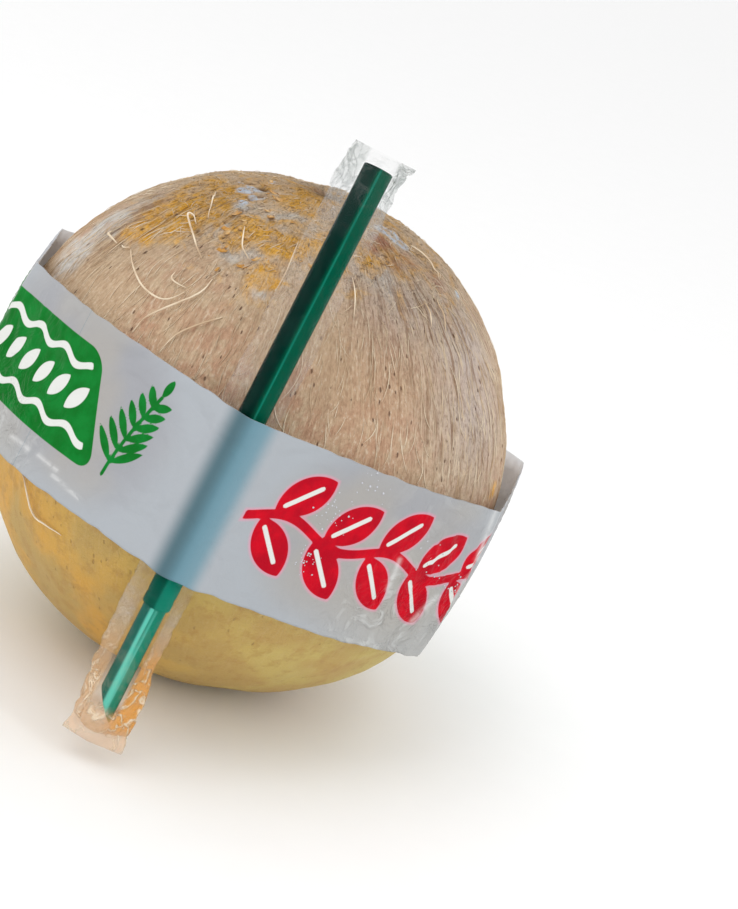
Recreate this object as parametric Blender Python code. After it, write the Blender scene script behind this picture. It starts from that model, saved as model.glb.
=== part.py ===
"""A shaved young coconut, sold for drinking: the nut, a film band round its waist, and a two-part
straw in a clear sleeve that stands tucked under the band.

Metres, +Z up. The fibres run down from the stem end, which is at the top. The origin is the
middle of the small flat that the nut stands on. The straw side faces -Y."""

import math
import random

import bmesh
import bpy
from mathutils import Vector, noise

MM = 0.001
UP = Vector((0.0, 0.0, 1.0))
FRONT = Vector((0.0, -1.0, 0.0))
GAP = 0.3 * MM  # left between pieces that touch

# Nut
NUT_RADIUS = 64.0 * MM  # to the tips of its fibres
FOOT_CUT = 2.4 * MM  # what the foot's flat takes off the bottom
BULGE = 2.2 * MM  # the nut is fuller low on its right side
BULGE_AT = (0.72, -0.22, -0.66)
BULGE_REACH = math.radians(40.0)
NUT_SIDES = 96
NUT_RINGS = 36
KNIFE_CUTS = 120
KNIFE_DEPTHS = (0.15 * MM, 0.65 * MM)
KNIFE_SEED = 41
KNIFE_SHUFFLE = 0.35  # radians that a cut may be turned away from its even place
KNIFE_FACING = 0.9  # a cut is only looked at where the surface faces it this much
STREAKS = 5.5  # fineness of the fibre streaks round the nut
STREAKS_DOWN = 1.7  # and down it
STREAK_SHIFT = Vector((3.1, 7.7, 1.9))
STREAK_DEPTH = 0.45 * MM
STEM_END = math.radians(34.0)  # how far the rough stem end reaches down
STEM_ROUGH_TO = 0.35  # share of that reach that is rough all over
STEM_DEPTH = 1.3 * MM
STEM_LUMPS = 11.0  # fineness of its lumps
DIMPLE = math.radians(9.0)
DIMPLE_DEPTH = 1.6 * MM
SMOOTH_FROM = math.radians(100.0)  # below this the nut is shaved smoother
SMOOTH_TO = math.radians(123.0)
SMOOTH_SHARE = 0.35
FOOT_FADE = math.radians(12.0)  # the relief fades out this far above the foot

# Band
BAND_LEAN_SIDE = math.radians(9.6)  # its axis leans towards +X
BAND_LEAN_BACK = math.radians(7.8)  # and towards +Y
BAND_TOP = 16.7 * MM  # edges, along its axis from the middle of the nut
BAND_BOTTOM = -23.4 * MM
BAND_FILM = 0.6 * MM
BAND_STEP = 5.0  # degrees between its points
BAND_CLEAR = 0.4  # share of a step that an even point keeps from one set by hand
BAND_ROWS = 4
STRAW_STEPS = (-28.0, -3.6, -1.8, -0.9, 0.0, 0.9, 1.8, 3.6, 28.0)  # degrees from the straw
FOLD_STEPS = (-0.7, 0.0, 0.7)  # degrees from a fold
# Folds that stand off the nut: degrees from the front, and the distance from the band's axis
BAND_FOLDS = ((-68.7, 66.6 * MM), (60.3, 66.6 * MM), (-113.0, 70.2 * MM), (107.0, 70.4 * MM))
FOLD_NOSE = 0.8 * MM
HUG_FROM = math.radians(48.0)  # beyond this the film follows the nut's roundness
HUG_TO = math.radians(84.0)
HUG = 0.5  # share of that roundness, less on the right and more on the left
HUG_SKEW = 0.25
RISE_FROM = math.radians(62.0)  # the band rides up behind
RISE_TO = math.radians(108.0)
RISE = 3.5 * MM
RISE_SKEW = 1.5 * MM
PUCKER = 2.5 * MM  # its lower edge is drawn up further on the right
RIPPLE = 0.35 * MM
RIPPLES = 4.0  # fineness of the ripples round the band
RIPPLES_UP = 60.0  # and up it, for each metre

# Straw, in two tubes that slide one in the other, and its sleeve
STRAW_LEAN_SIDE = math.radians(8.55)
STRAW_LEAN_BACK = math.radians(5.0)
STRAW_TURN = math.radians(3.2)  # it touches the nut this far round from the front, towards -X
UPPER_RADIUS = 3.3 * MM
LOWER_RADIUS = 2.7 * MM
STRAW_WALL = 0.3 * MM
STRAW_SIDES = 24
STRAW_TOP = 79.2 * MM  # along the straw from where it touches the nut
UPPER_BOTTOM = -28.0 * MM
LOWER_TOP = 52.0 * MM
LOWER_BOTTOM = -53.8 * MM
LOWER_SLANT = 1.35  # rise of the pointed end for each unit across it
CRIMP_AT = 2.6 * MM  # above the upper tube's lower end
CRIMP_DEPTH = 0.14 * MM
CRIMP_HALF = 0.9 * MM
SLEEVE_FILM = 0.4 * MM
SLEEVE_TOP = 82.4 * MM
SLEEVE_BOTTOM = -63.4 * MM
SLEEVE_LEFT = 8.0 * MM  # how far its side seams stand out from the straw's axis
SLEEVE_RIGHT = 6.1 * MM
SLEEVE_FLAT = 7.4 * MM  # the same, where it lies flat above the straw
SLEEVE_FOOT_LEFT = 6.4 * MM  # and at its foot, which is pushed over to the right
SLEEVE_FOOT_RIGHT = 8.4 * MM
SLEEVE_SEAL = -59.8 * MM  # the pocket for the straw ends here
SLEEVE_ROUND_FROM = -58.0 * MM  # between these it goes round the straw
SLEEVE_ROUND_TO = 79.6 * MM
SLEEVE_STATIONS = 14
SLEEVE_SIDE_POINTS = 6  # from each seam up to the top of the tent
SLEEVE_BACK_POINTS = 4
TOP_DROP = 0.45  # share by which its tent sinks at the open top
FOOT_DROP = 0.8  # and at the sealed foot
SEAM_WAVE = 0.7 * MM
SEAM_WAVES = 90.0  # fineness of the seams' waves, for each metre
SEAM_SHIFT = 3.7

CENTRE = Vector((0.0, 0.0, NUT_RADIUS - FOOT_CUT))
SLEEVE_ROUND = UPPER_RADIUS + GAP + SLEEVE_FILM  # of the film where it goes round the straw
STRAW_OFF = NUT_RADIUS + GAP + SLEEVE_ROUND  # from the nut's middle to the straw's axis

# Base colour, roughness and metallic share of each piece
FINISHES = {
    "coconut": ((0.52, 0.36, 0.22), 0.85, 0.0),
    "band": ((0.72, 0.75, 0.78), 0.35, 0.0),
    "straw_upper": ((0.0, 0.16, 0.11), 0.3, 0.0),
    "straw_lower": ((0.01, 0.27, 0.17), 0.3, 0.0),
    "straw_sleeve": ((0.82, 0.84, 0.84), 0.12, 0.0),
}


def clear_scene():
    for thing in list(bpy.data.objects):
        bpy.data.objects.remove(thing, do_unlink=True)


def ramp(value, start, end):
    """0 before start, 1 after end, and smooth between."""
    share = min(1.0, max(0.0, (value - start) / (end - start)))
    return share * share * (3.0 - 2.0 * share)


def leaning(side, back):
    """Unit vector that leans from upright by two angles."""
    return Vector((math.tan(side), math.tan(back), 1.0)).normalized()


def square_to(axis, towards):
    """Unit vector square to axis and as near as can be to towards."""
    return (towards - axis * towards.dot(axis)).normalized()


BAND_AXIS = leaning(BAND_LEAN_SIDE, BAND_LEAN_BACK)
BAND_FRONT = square_to(BAND_AXIS, FRONT)
BAND_SIDE = BAND_AXIS.cross(BAND_FRONT)
STRAW_AXIS = leaning(STRAW_LEAN_SIDE, STRAW_LEAN_BACK)
STRAW_OUT = square_to(STRAW_AXIS, Vector((-math.sin(STRAW_TURN), -math.cos(STRAW_TURN), 0.0)))
STRAW_SIDE = STRAW_AXIS.cross(STRAW_OUT)
STRAW_FOOT = CENTRE + STRAW_OUT * STRAW_OFF  # the point of its axis that is nearest the nut


def add_piece(name, mesh_data):
    """Turns a bmesh into a named object with its finish."""
    bmesh.ops.recalc_face_normals(mesh_data, faces=mesh_data.faces[:])
    mesh = bpy.data.meshes.new(name)
    mesh_data.to_mesh(mesh)
    mesh_data.free()
    mesh.shade_smooth()
    mesh.set_sharp_from_angle(angle=math.radians(35.0))
    colour, roughness, metallic = FINISHES[name]
    finish = bpy.data.materials.new(name)
    finish.use_nodes = True
    shader = finish.node_tree.nodes["Principled BSDF"]
    shader.inputs["Base Color"].default_value = (*colour, 1.0)
    shader.inputs["Roughness"].default_value = roughness
    shader.inputs["Metallic"].default_value = metallic
    mesh.materials.append(finish)
    piece = bpy.data.objects.new(name, mesh)
    bpy.context.collection.objects.link(piece)
    return piece


def join_rings(mesh_data, lower, upper):
    """Faces between two closed rings with as many points."""
    for i in range(len(lower)):
        after = (i + 1) % len(lower)
        mesh_data.faces.new((lower[i], lower[after], upper[after], upper[i]))


def stack_rings(mesh_data, rings):
    """Points for a list of rings, with faces between each and the next."""
    made = [[mesh_data.verts.new(point) for point in ring] for ring in rings]
    for lower, upper in zip(made, made[1:]):
        join_rings(mesh_data, lower, upper)
    return made


def knife_flats():
    """Planes that trim the nut a little, spread evenly and then shuffled."""
    draw = random.Random(KNIFE_SEED)
    golden = math.pi * (3.0 - math.sqrt(5.0))
    flats = []
    for i in range(KNIFE_CUTS):
        height = 1.0 - 2.0 * (i + 0.5) / KNIFE_CUTS
        turn = i * golden + draw.uniform(-KNIFE_SHUFFLE, KNIFE_SHUFFLE)
        ring = math.sqrt(1.0 - height * height)
        normal = Vector((ring * math.cos(turn), ring * math.sin(turn), height))
        flats.append((normal, NUT_RADIUS - draw.uniform(*KNIFE_DEPTHS)))
    return flats


def nut_radius(direction, flats):
    """Distance from the nut's middle to its surface: knife flats, fibre streaks and the stem end."""
    down = direction.angle(UP)
    around = math.atan2(direction.y, direction.x)
    radius = NUT_RADIUS
    for normal, distance in flats:
        facing = direction.dot(normal)
        if facing > KNIFE_FACING:
            radius = min(radius, distance / facing)
    wheel = Vector((STREAKS * math.cos(around), STREAKS * math.sin(around), STREAKS_DOWN * down))
    streak = 0.5 + 0.5 * noise.noise(wheel + STREAK_SHIFT)
    lumps = 0.5 + 0.5 * noise.noise(direction * STEM_LUMPS)
    stem = 1.0 - ramp(down, STEM_ROUGH_TO * STEM_END, STEM_END)
    dimple = 1.0 - ramp(down, 0.0, DIMPLE)
    share = 1.0 - (1.0 - SMOOTH_SHARE) * ramp(down, SMOOTH_FROM, SMOOTH_TO)
    dent = STREAK_DEPTH * streak * share * (1.0 - 0.6 * stem)
    dent += STEM_DEPTH * lumps * stem * (1.0 - 0.7 * dimple)
    dent += DIMPLE_DEPTH * dimple
    dent -= BULGE * (1.0 - ramp(direction.angle(Vector(BULGE_AT)), 0.0, BULGE_REACH))
    fade = ramp(math.acos(-CENTRE.z / NUT_RADIUS) - down, 0.0, FOOT_FADE)
    return NUT_RADIUS - (NUT_RADIUS - radius + dent) * fade


def make_nut():
    """Rings from the stem end down to the foot, which is one flat face."""
    flats = knife_flats()
    foot_angle = math.acos(-CENTRE.z / NUT_RADIUS)
    rings = []
    for k in range(NUT_RINGS, 0, -1):
        down = foot_angle * k / NUT_RINGS
        ring = []
        for i in range(NUT_SIDES):
            around = 2.0 * math.pi * i / NUT_SIDES
            direction = Vector((math.sin(down) * math.cos(around),
                                math.sin(down) * math.sin(around),
                                math.cos(down)))
            point = CENTRE + direction * nut_radius(direction, flats)
            if k == NUT_RINGS:
                point.z = 0.0
            ring.append(point)
        rings.append(ring)
    mesh_data = bmesh.new()
    made = stack_rings(mesh_data, rings)
    mesh_data.faces.new(made[0])
    crown = mesh_data.verts.new(CENTRE + UP * nut_radius(UP, flats))
    last = made[-1]
    for i in range(NUT_SIDES):
        mesh_data.faces.new((last[i], last[(i + 1) % NUT_SIDES], crown))
    add_piece("coconut", mesh_data)


def tent(angle, distance, nose, round_radius):
    """Film pulled over a rod of radius nose that stands off a round body: its distance from the
    body's middle, at an angle from the rod. Also used for a fold, which has a small nose."""
    reach = math.acos((round_radius - nose) / distance)
    touch = math.atan2(nose * math.sin(reach), distance + nose * math.cos(reach))
    away = abs(angle)
    if away >= reach:
        return round_radius
    if away > touch:
        return round_radius / math.cos(reach - away)
    over = nose * nose - (distance * math.sin(away)) ** 2
    return distance * math.cos(away) + math.sqrt(max(0.0, over))


def straw_in_band(height):
    """Angle and distance of the straw's axis from the band's, at a height along the band."""
    from_nut = STRAW_FOOT - CENTRE
    along = (height - from_nut.dot(BAND_AXIS)) / STRAW_AXIS.dot(BAND_AXIS)
    there = from_nut + STRAW_AXIS * along
    front = there.dot(BAND_FRONT)
    side = there.dot(BAND_SIDE)
    return math.atan2(side, front), math.hypot(side, front)


def turn_between(angle, other):
    """The turn from other to angle, from minus a half turn to a half turn."""
    return (angle - other + math.pi) % (2.0 * math.pi) - math.pi


def band_angles():
    """Angles of the band's points: even steps, with more at the straw and at the folds."""
    middle = straw_in_band(0.5 * (BAND_TOP + BAND_BOTTOM))[0]
    angles = [math.radians(BAND_STEP * i - 180.0) for i in range(round(360.0 / BAND_STEP))]
    special = [middle + math.radians(step) for step in STRAW_STEPS]
    for place, _ in BAND_FOLDS:
        special += [math.radians(place + step) for step in FOLD_STEPS]
    clear = math.radians(BAND_CLEAR * BAND_STEP)
    kept = [a for a in angles if all(abs(turn_between(a, s)) > clear for s in special)]
    return sorted(kept + special)


def band_height(angle, share):
    """Height along the band's axis, from its lower edge at share 0 to its upper edge at 1."""
    rise = RISE + RISE_SKEW * math.sin(angle) + PUCKER * (1.0 - share) * max(0.0, math.sin(angle))
    rise *= ramp(abs(angle), RISE_FROM, RISE_TO)
    return BAND_BOTTOM + (BAND_TOP - BAND_BOTTOM) * share + rise


def band_radius(angle, height):
    """Distance of the film's inner face from the band's axis."""
    straight = NUT_RADIUS + GAP
    hug = (HUG - HUG_SKEW * math.sin(angle)) * ramp(abs(angle), HUG_FROM, HUG_TO)
    body = math.sqrt(straight * straight - hug * height * height)
    where, distance = straw_in_band(height)
    nose = SLEEVE_ROUND + 2.0 * GAP
    radius = tent(turn_between(angle, where), distance, nose, body)
    for place, fold in BAND_FOLDS:
        drawn_in = fold - (straight - body)
        radius = max(radius, tent(turn_between(angle, math.radians(place)), drawn_in, FOLD_NOSE, body))
    return radius


def band_point(angle, share, lift):
    """A point of the film, lift outside its inner face."""
    height = band_height(angle, share)
    wheel = Vector((RIPPLES * math.cos(angle), RIPPLES * math.sin(angle), RIPPLES_UP * height))
    ripple = RIPPLE * (0.5 + 0.5 * noise.noise(wheel))
    radius = band_radius(angle, height) + ripple + lift
    outward = BAND_FRONT * math.cos(angle) + BAND_SIDE * math.sin(angle)
    return CENTRE + BAND_AXIS * height + outward * radius


def make_band():
    angles = band_angles()
    mesh_data = bmesh.new()
    walls = []
    for lift in (0.0, BAND_FILM):
        shares = [k / BAND_ROWS for k in range(BAND_ROWS + 1)]
        rings = [[band_point(angle, share, lift) for angle in angles] for share in shares]
        walls.append(stack_rings(mesh_data, rings))
    inner, outer = walls
    join_rings(mesh_data, inner[0], outer[0])
    join_rings(mesh_data, inner[-1], outer[-1])
    add_piece("band", mesh_data)


def straw_point(side, out, along):
    return STRAW_FOOT + STRAW_SIDE * side + STRAW_OUT * out + STRAW_AXIS * along


def round_ring(radius, along, slant=0.0):
    """Ring of a tube. A slanted one climbs towards the side seam at -side."""
    ring = []
    for i in range(STRAW_SIDES):
        turn = 2.0 * math.pi * i / STRAW_SIDES
        side = radius * math.cos(turn)
        ring.append(straw_point(side, radius * math.sin(turn), along - slant * side))
    return ring


def make_tube(name, radius, stations):
    """Open tube. A station is its place along the straw, its slant, and how far it is drawn in."""
    mesh_data = bmesh.new()
    walls = []
    for wall_radius in (radius - STRAW_WALL, radius):
        rings = [round_ring(wall_radius - drawn, along, slant) for along, slant, drawn in stations]
        walls.append(stack_rings(mesh_data, rings))
    inner, outer = walls
    join_rings(mesh_data, inner[0], outer[0])
    join_rings(mesh_data, inner[-1], outer[-1])
    add_piece(name, mesh_data)


def make_straw():
    crimp = UPPER_BOTTOM + CRIMP_AT
    make_tube("straw_upper", UPPER_RADIUS, (
        (UPPER_BOTTOM, 0.0, 0.0),
        (crimp - CRIMP_HALF, 0.0, 0.0),
        (crimp, 0.0, CRIMP_DEPTH),
        (crimp + CRIMP_HALF, 0.0, 0.0),
        (STRAW_TOP, 0.0, 0.0),
    ))
    make_tube("straw_lower", LOWER_RADIUS, (
        (LOWER_BOTTOM, LOWER_SLANT, 0.0),
        (LOWER_BOTTOM + 2.0 * LOWER_SLANT * LOWER_RADIUS, 0.0, 0.0),
        (LOWER_TOP, 0.0, 0.0),
    ))


def sleeve_ring(rise, left, right, along):
    """Closed section of the sleeve: a flat back, two seams, and a front tented over the straw.
    rise is the radius of the tent's top, and the seams are at -left and right."""
    sides = []
    for seam in (-left, right):
        tilt = math.atan2(-rise, seam)
        touch = 2.0 * tilt + 0.5 * math.pi
        if touch < 0.0:
            touch += 2.0 * math.pi
        side = [(seam, -rise)]
        for i in range(SLEEVE_SIDE_POINTS):
            turn = touch + (0.5 * math.pi - touch) * i / SLEEVE_SIDE_POINTS
            side.append((rise * math.cos(turn), rise * math.sin(turn)))
        sides.append(side)
    ring = sides[0] + [(0.0, rise)] + sides[1][::-1]
    for i in range(1, SLEEVE_BACK_POINTS + 1):
        share = i / (SLEEVE_BACK_POINTS + 1)
        ring.append((right + (-left - right) * share, -rise))
    return [straw_point(side, out, along) for side, out in ring]


def sleeve_station(along, film):
    """Section at a place along the straw, film inside its outer face."""
    past_top = ramp(along, SLEEVE_ROUND_TO, SLEEVE_TOP)
    past_foot = ramp(-along, -SLEEVE_ROUND_FROM, -SLEEVE_BOTTOM)
    rise = SLEEVE_ROUND * (1.0 - TOP_DROP * past_top) * (1.0 - FOOT_DROP * past_foot)
    near_foot = ramp(-along, -UPPER_BOTTOM, -SLEEVE_BOTTOM)
    wave = SEAM_WAVE * noise.noise(Vector((0.0, SEAM_SHIFT, SEAM_WAVES * along)))
    left = SLEEVE_LEFT + (SLEEVE_FLAT - SLEEVE_LEFT) * past_top + wave
    left += (SLEEVE_FOOT_LEFT - SLEEVE_LEFT) * near_foot
    right = SLEEVE_RIGHT + (SLEEVE_FLAT - SLEEVE_RIGHT) * past_top - wave
    right += (SLEEVE_FOOT_RIGHT - SLEEVE_RIGHT) * near_foot
    keep = (rise - film) / rise
    return sleeve_ring(rise * keep, left * keep, right * keep, along)


def make_sleeve():
    """Film pouch, sealed at the foot and open at the top."""
    mesh_data = bmesh.new()
    length = SLEEVE_ROUND_TO - SLEEVE_ROUND_FROM
    pocket = [SLEEVE_ROUND_FROM + length * k / SLEEVE_STATIONS for k in range(SLEEVE_STATIONS + 1)]
    pocket += [0.5 * (SLEEVE_ROUND_TO + SLEEVE_TOP), SLEEVE_TOP]
    inner = stack_rings(mesh_data, [sleeve_station(a, SLEEVE_FILM) for a in [SLEEVE_SEAL] + pocket])
    outer = stack_rings(mesh_data, [sleeve_station(a, 0.0) for a in [SLEEVE_BOTTOM, SLEEVE_SEAL] + pocket])
    mesh_data.faces.new(outer[0])
    mesh_data.faces.new(inner[0])
    join_rings(mesh_data, inner[-1], outer[-1])
    add_piece("straw_sleeve", mesh_data)


clear_scene()
make_nut()
make_band()
make_straw()
make_sleeve()
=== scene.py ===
"""Looks of a shaved young coconut with a printed film band and a straw in a clear sleeve.

Metres, +Z up, in the frame of the solids. The nut's fibres run down from its stem end at the top."""

import math
import random

import bpy
import numpy as np
from mathutils import Matrix, Vector, noise


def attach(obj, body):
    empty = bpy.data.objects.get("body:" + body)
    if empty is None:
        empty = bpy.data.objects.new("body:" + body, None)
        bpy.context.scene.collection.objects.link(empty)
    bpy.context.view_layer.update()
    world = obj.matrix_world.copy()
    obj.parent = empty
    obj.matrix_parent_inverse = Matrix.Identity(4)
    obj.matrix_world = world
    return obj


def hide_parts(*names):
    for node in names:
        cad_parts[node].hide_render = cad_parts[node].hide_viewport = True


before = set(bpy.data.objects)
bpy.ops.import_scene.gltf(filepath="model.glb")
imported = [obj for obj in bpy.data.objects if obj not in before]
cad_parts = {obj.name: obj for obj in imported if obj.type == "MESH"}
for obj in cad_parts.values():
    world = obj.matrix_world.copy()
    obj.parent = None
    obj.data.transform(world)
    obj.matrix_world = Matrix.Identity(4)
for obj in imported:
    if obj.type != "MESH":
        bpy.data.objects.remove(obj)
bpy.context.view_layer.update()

MM = 0.001
UP = Vector((0.0, 0.0, 1.0))
FRONT = Vector((0.0, -1.0, 0.0))
GAP = 0.3 * MM  # left between pieces that touch
BODY = "root"

# Nut, with the values of its solid
NUT_RADIUS = 64.0 * MM  # to the tips of its fibres
FOOT_CUT = 2.4 * MM
CENTRE = Vector((0.0, 0.0, NUT_RADIUS - FOOT_CUT))
FOOT_ANGLE = math.acos(-CENTRE.z / NUT_RADIUS)
BULGE = 2.2 * MM
BULGE_AT = (0.72, -0.22, -0.66)
BULGE_REACH = math.radians(40.0)
KNIFE_CUTS = 120
KNIFE_DEPTHS = (0.15 * MM, 0.65 * MM)
KNIFE_SEED = 41
KNIFE_SHUFFLE = 0.35
KNIFE_FACING = 0.9
STREAKS = (5.5, 1.7, (3.1, 7.7, 1.9))  # fineness round and down the nut, and a shift
STREAK_DEPTH = 0.45 * MM
STEM_END = math.radians(34.0)
STEM_ROUGH_TO = 0.35
STEM_DEPTH = 1.3 * MM
STEM_LUMPS = 11.0
DIMPLE = math.radians(9.0)
DIMPLE_DEPTH = 1.6 * MM
SMOOTH_FROM = math.radians(100.0)
SMOOTH_TO = SMOOTH_FROM + 0.4
SMOOTH_SHARE = 0.35
FOOT_FADE = math.radians(12.0)

# Finer relief of the nut, in the looks alone
COMBS = (24.0, 2.2, (9.0, 2.0, 5.0))
COMB_DEPTH = 0.7 * MM
FINE_STREAKS = (46.0, 5.0, (1.0, 4.0, 8.0))
FINE_DEPTH = 0.25 * MM
SHAGS = 34.0
SHAG_DEPTH = 0.55 * MM
HOLE_DEPTH = 1.5 * MM
# Below the band the husk is smooth, and its yellow there is painted bounce light from an orange surface under
# the nut
SHAVED_SMOOTH = (10.0 * MM, 28.0 * MM)  # how far below the middle the husk turns smooth
NUT_ROUND = 440
NUT_DOWN = 215

# Band, with the values of its solid
BAND_LEAN_SIDE = math.radians(9.6)
BAND_LEAN_BACK = math.radians(7.8)
BAND_TOP = 16.7 * MM
BAND_BOTTOM = -23.4 * MM
BAND_FOLDS = ((-68.7, 66.6 * MM), (60.3, 66.6 * MM), (-113.0, 70.2 * MM), (107.0, 70.4 * MM))
FOLD_NOSE = 0.8 * MM
HUG_FROM = math.radians(48.0)
HUG_TO = math.radians(84.0)
HUG = 0.5
HUG_SKEW = 0.25
RISE_FROM = math.radians(62.0)
RISE_TO = math.radians(108.0)
RISE = 3.5 * MM
RISE_SKEW = 1.5 * MM
PUCKER = 2.5 * MM
RIPPLE = 0.35 * MM
RIPPLES = 4.0
RIPPLES_UP = 60.0

# The band's finer points
EDGE_WAVE = 0.35 * MM
EDGE_WAVES = 16.0
WRINKLE = 1.0 * MM
RIGHT_FOLDS = ((38.0, 55.0), (112.0, 130.0))  # degrees from the straw, where they rise and fall
LEFT_FOLDS = ((-125.0, -108.0), (-64.0, -50.0))
FILM_INSIDE = 0.2 * MM
FILM_OUTSIDE = 0.38 * MM
BAND_ROUND = 720
BAND_ROWS = 84
BAND_INNER_ROWS = 10
FILM_ANGLES = [math.tau * i / BAND_ROUND - math.pi for i in range(BAND_ROUND)]

# Straw and sleeve, with the values of their solids
STRAW_LEAN_SIDE = math.radians(8.55)
STRAW_LEAN_BACK = math.radians(5.0)
STRAW_TURN = math.radians(3.2)
UPPER_RADIUS = 3.3 * MM
LOWER_RADIUS = 2.7 * MM
STRAW_WALL = 0.3 * MM
STRAW_TOP = 79.2 * MM
UPPER_BOTTOM = -28.0 * MM
LOWER_TOP = 52.0 * MM
LOWER_BOTTOM = -53.8 * MM
LOWER_SLANT = 1.35
CRIMP_AT = 2.6 * MM
CRIMP_DEPTH = 0.14 * MM
CRIMP_HALF = 0.9 * MM
SLEEVE_FILM = 0.4 * MM
SLEEVE_TOP = 82.4 * MM
SLEEVE_BOTTOM = -63.4 * MM
SLEEVE_LEFT = 8.0 * MM
SLEEVE_RIGHT = 6.1 * MM
SLEEVE_FLAT = 7.4 * MM
SLEEVE_FOOT_LEFT = 6.4 * MM
SLEEVE_FOOT_RIGHT = 8.4 * MM
SLEEVE_SEAL = -59.8 * MM
SLEEVE_ROUND_FROM = -58.0 * MM
SLEEVE_ROUND_TO = 79.6 * MM
TOP_DROP = 0.45
FOOT_DROP = 0.8
SEAM_WAVE = 0.7 * MM
SEAM_WAVES = 90.0
SEAM_SHIFT = 3.7
SLEEVE_ROUND = UPPER_RADIUS + GAP + SLEEVE_FILM
STRAW_OFF = NUT_RADIUS + GAP + SLEEVE_ROUND

# Their finer points. A pair says where an effect starts and where it is full
TUBE_SIDES = 64
RIM = 0.1 * MM
RIM_SQUARE = 0.6 * MM  # the upper tube stays straight this far above its lower end
SLEEVE_AROUND = 96
SLEEVE_ALONG = 220
SLEEVE_SHELL = 0.1 * MM
TENT_STEPS = 6
CRINKLE = 0.7 * MM
CRINKLES = (420.0, 260.0)  # fineness across and along the straw, for each metre
CRINKLED_TOP = (58.0 * MM, 80.0 * MM)
CRINKLED_FOOT = (20.0 * MM, 48.0 * MM)
CRUMPLED_TOP = (62.0 * MM, 78.0 * MM)
CRUMPLED_FOOT = (20.0 * MM, 50.0 * MM)
BESIDE_STRAW = (3.1 * MM, 4.0 * MM)
PAST_STRAW = (53.0 * MM, 56.0 * MM)

# Camera, fitted to the photo's frame of 738 by 909 pixels
PHOTO_WIDTH = 738.0
PHOTO_HEIGHT = 909.0
FOCAL_PIXELS = 2210.66
NUT_PIXEL = (248.0, 429.5)
EYE_DISTANCE = 0.546
EYE_RIGHT = Vector((0.9494, 0.1018, 0.2971))
EYE_UP = Vector((-0.3140, 0.3077, 0.8982))
EYE_BACK = Vector((0.0, -0.9460, 0.3241))
EYE = CENTRE + EYE_BACK * EYE_DISTANCE
SENSOR = 36.0

# Marked places on the nut: pixel, reach in millimetres, amount
PLACES = {
    "ochre": (
        (272, 240, 5.0, 1.0), (290, 245, 4.5, 1.0), (264, 278, 4.2, 1.0), (238, 236, 5.0, 1.0),
        (248, 221, 4.5, 0.9), (300, 198, 7.5, 0.9), (318, 192, 6.0, 0.9), (205, 182, 6.0, 0.7),
        (190, 210, 12.0, 1.0), (158, 220, 9.0, 0.8), (232, 190, 7.5, 0.95), (366, 258, 3.0, 0.7),
        (411, 257, 3.2, 0.5), (402, 214, 5.0, 0.8), (437, 262, 4.0, 0.5), (452, 295, 3.4, 0.5),
        (268, 300, 4.0, 0.5), (352, 300, 5.0, 0.25), (496, 490, 3.0, 0.6)),
    # Grey: dry fuzz, with a painted sheen at the left edge and around the glints
    "grey": (
        (245, 206, 3.6, 0.7), (220, 226, 4.0, 0.6), (238, 252, 4.6, 0.65), (258, 250, 3.6, 0.7),
        (257, 291, 2.8, 0.7), (278, 218, 5.0, 0.5), (300, 217, 4.2, 0.8), (380, 272, 6.0, 0.55),
        (110, 224, 9.0, 0.95), (78, 248, 9.0, 0.95), (145, 200, 7.0, 0.5), (252, 184, 2.6, 1.0),
        (398, 234, 2.6, 0.8), (460, 292, 1.8, 0.7)),
    "glint": (
        (249, 184, 3.0, 1.0), (258, 192, 2.2, 1.0), (243, 178, 1.5, 0.8), (275, 178, 1.5, 0.8),
        (243, 200, 1.8, 0.7), (386, 227, 2.4, 1.0), (396, 233, 2.5, 1.0), (406, 240, 2.2, 1.0),
        (461, 292, 1.4, 0.8)),
    "rust": (
        (386, 240, 4.0, 0.7), (374, 246, 3.0, 0.6), (399, 215, 1.4, 0.8), (409, 222, 1.6, 0.6),
        (342, 236, 4.0, 0.5), (322, 184, 3.0, 0.5), (380, 390, 24.0, 0.32), (360, 330, 9.0, 0.25),
        (412, 256, 4.5, 0.5), (440, 280, 4.5, 0.5), (398, 262, 5.0, 0.4)),
    # Lilac: a painted sheen along the right edge
    "lilac_sheen": ((470, 350, 16.0, 0.9), (478, 410, 16.0, 0.8), (455, 330, 14.0, 0.7), (405, 300, 13.0, 0.6)),
    # Painted orange bounce light on the lower left
    "bounce_left": ((70, 600, 34.0, 1.0), (20, 520, 30.0, 1.0), (130, 640, 16.0, 0.5)),
    # Holes: dented in, with painted shade inside
    "hollow": (
        (251, 178, 1.4, 1.0), (264, 182, 1.8, 1.0), (262, 190, 1.4, 0.8), (251, 195, 1.2, 0.8),
        (398, 215, 1.2, 0.9), (196, 227, 1.2, 0.7)),
    "combed": (
        (160, 212, 13.0, 1.0), (205, 198, 11.0, 0.9), (110, 238, 11.0, 0.9), (440, 330, 24.0, 1.0),
        (470, 420, 22.0, 1.0), (400, 350, 16.0, 0.5), (210, 220, 9.0, 0.7)),
}


def ramp(value, start, end):
    """0 before start, 1 after end, and smooth between. Works on numbers and arrays."""
    share = np.clip((value - start) / (end - start), 0.0, 1.0)
    return share * share * (3.0 - 2.0 * share)


def leaning(side, back):
    return Vector((math.tan(side), math.tan(back), 1.0)).normalized()


def square_to(axis, towards):
    return (towards - axis * towards.dot(axis)).normalized()


BAND_AXIS = leaning(BAND_LEAN_SIDE, BAND_LEAN_BACK)
BAND_FRONT = square_to(BAND_AXIS, FRONT)
BAND_SIDE = BAND_AXIS.cross(BAND_FRONT)
STRAW_AXIS = leaning(STRAW_LEAN_SIDE, STRAW_LEAN_BACK)
STRAW_OUT = square_to(STRAW_AXIS, Vector((-math.sin(STRAW_TURN), -math.cos(STRAW_TURN), 0.0)))
STRAW_SIDE = STRAW_AXIS.cross(STRAW_OUT)
STRAW_FOOT = CENTRE + STRAW_OUT * STRAW_OFF


# Photo places

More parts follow.
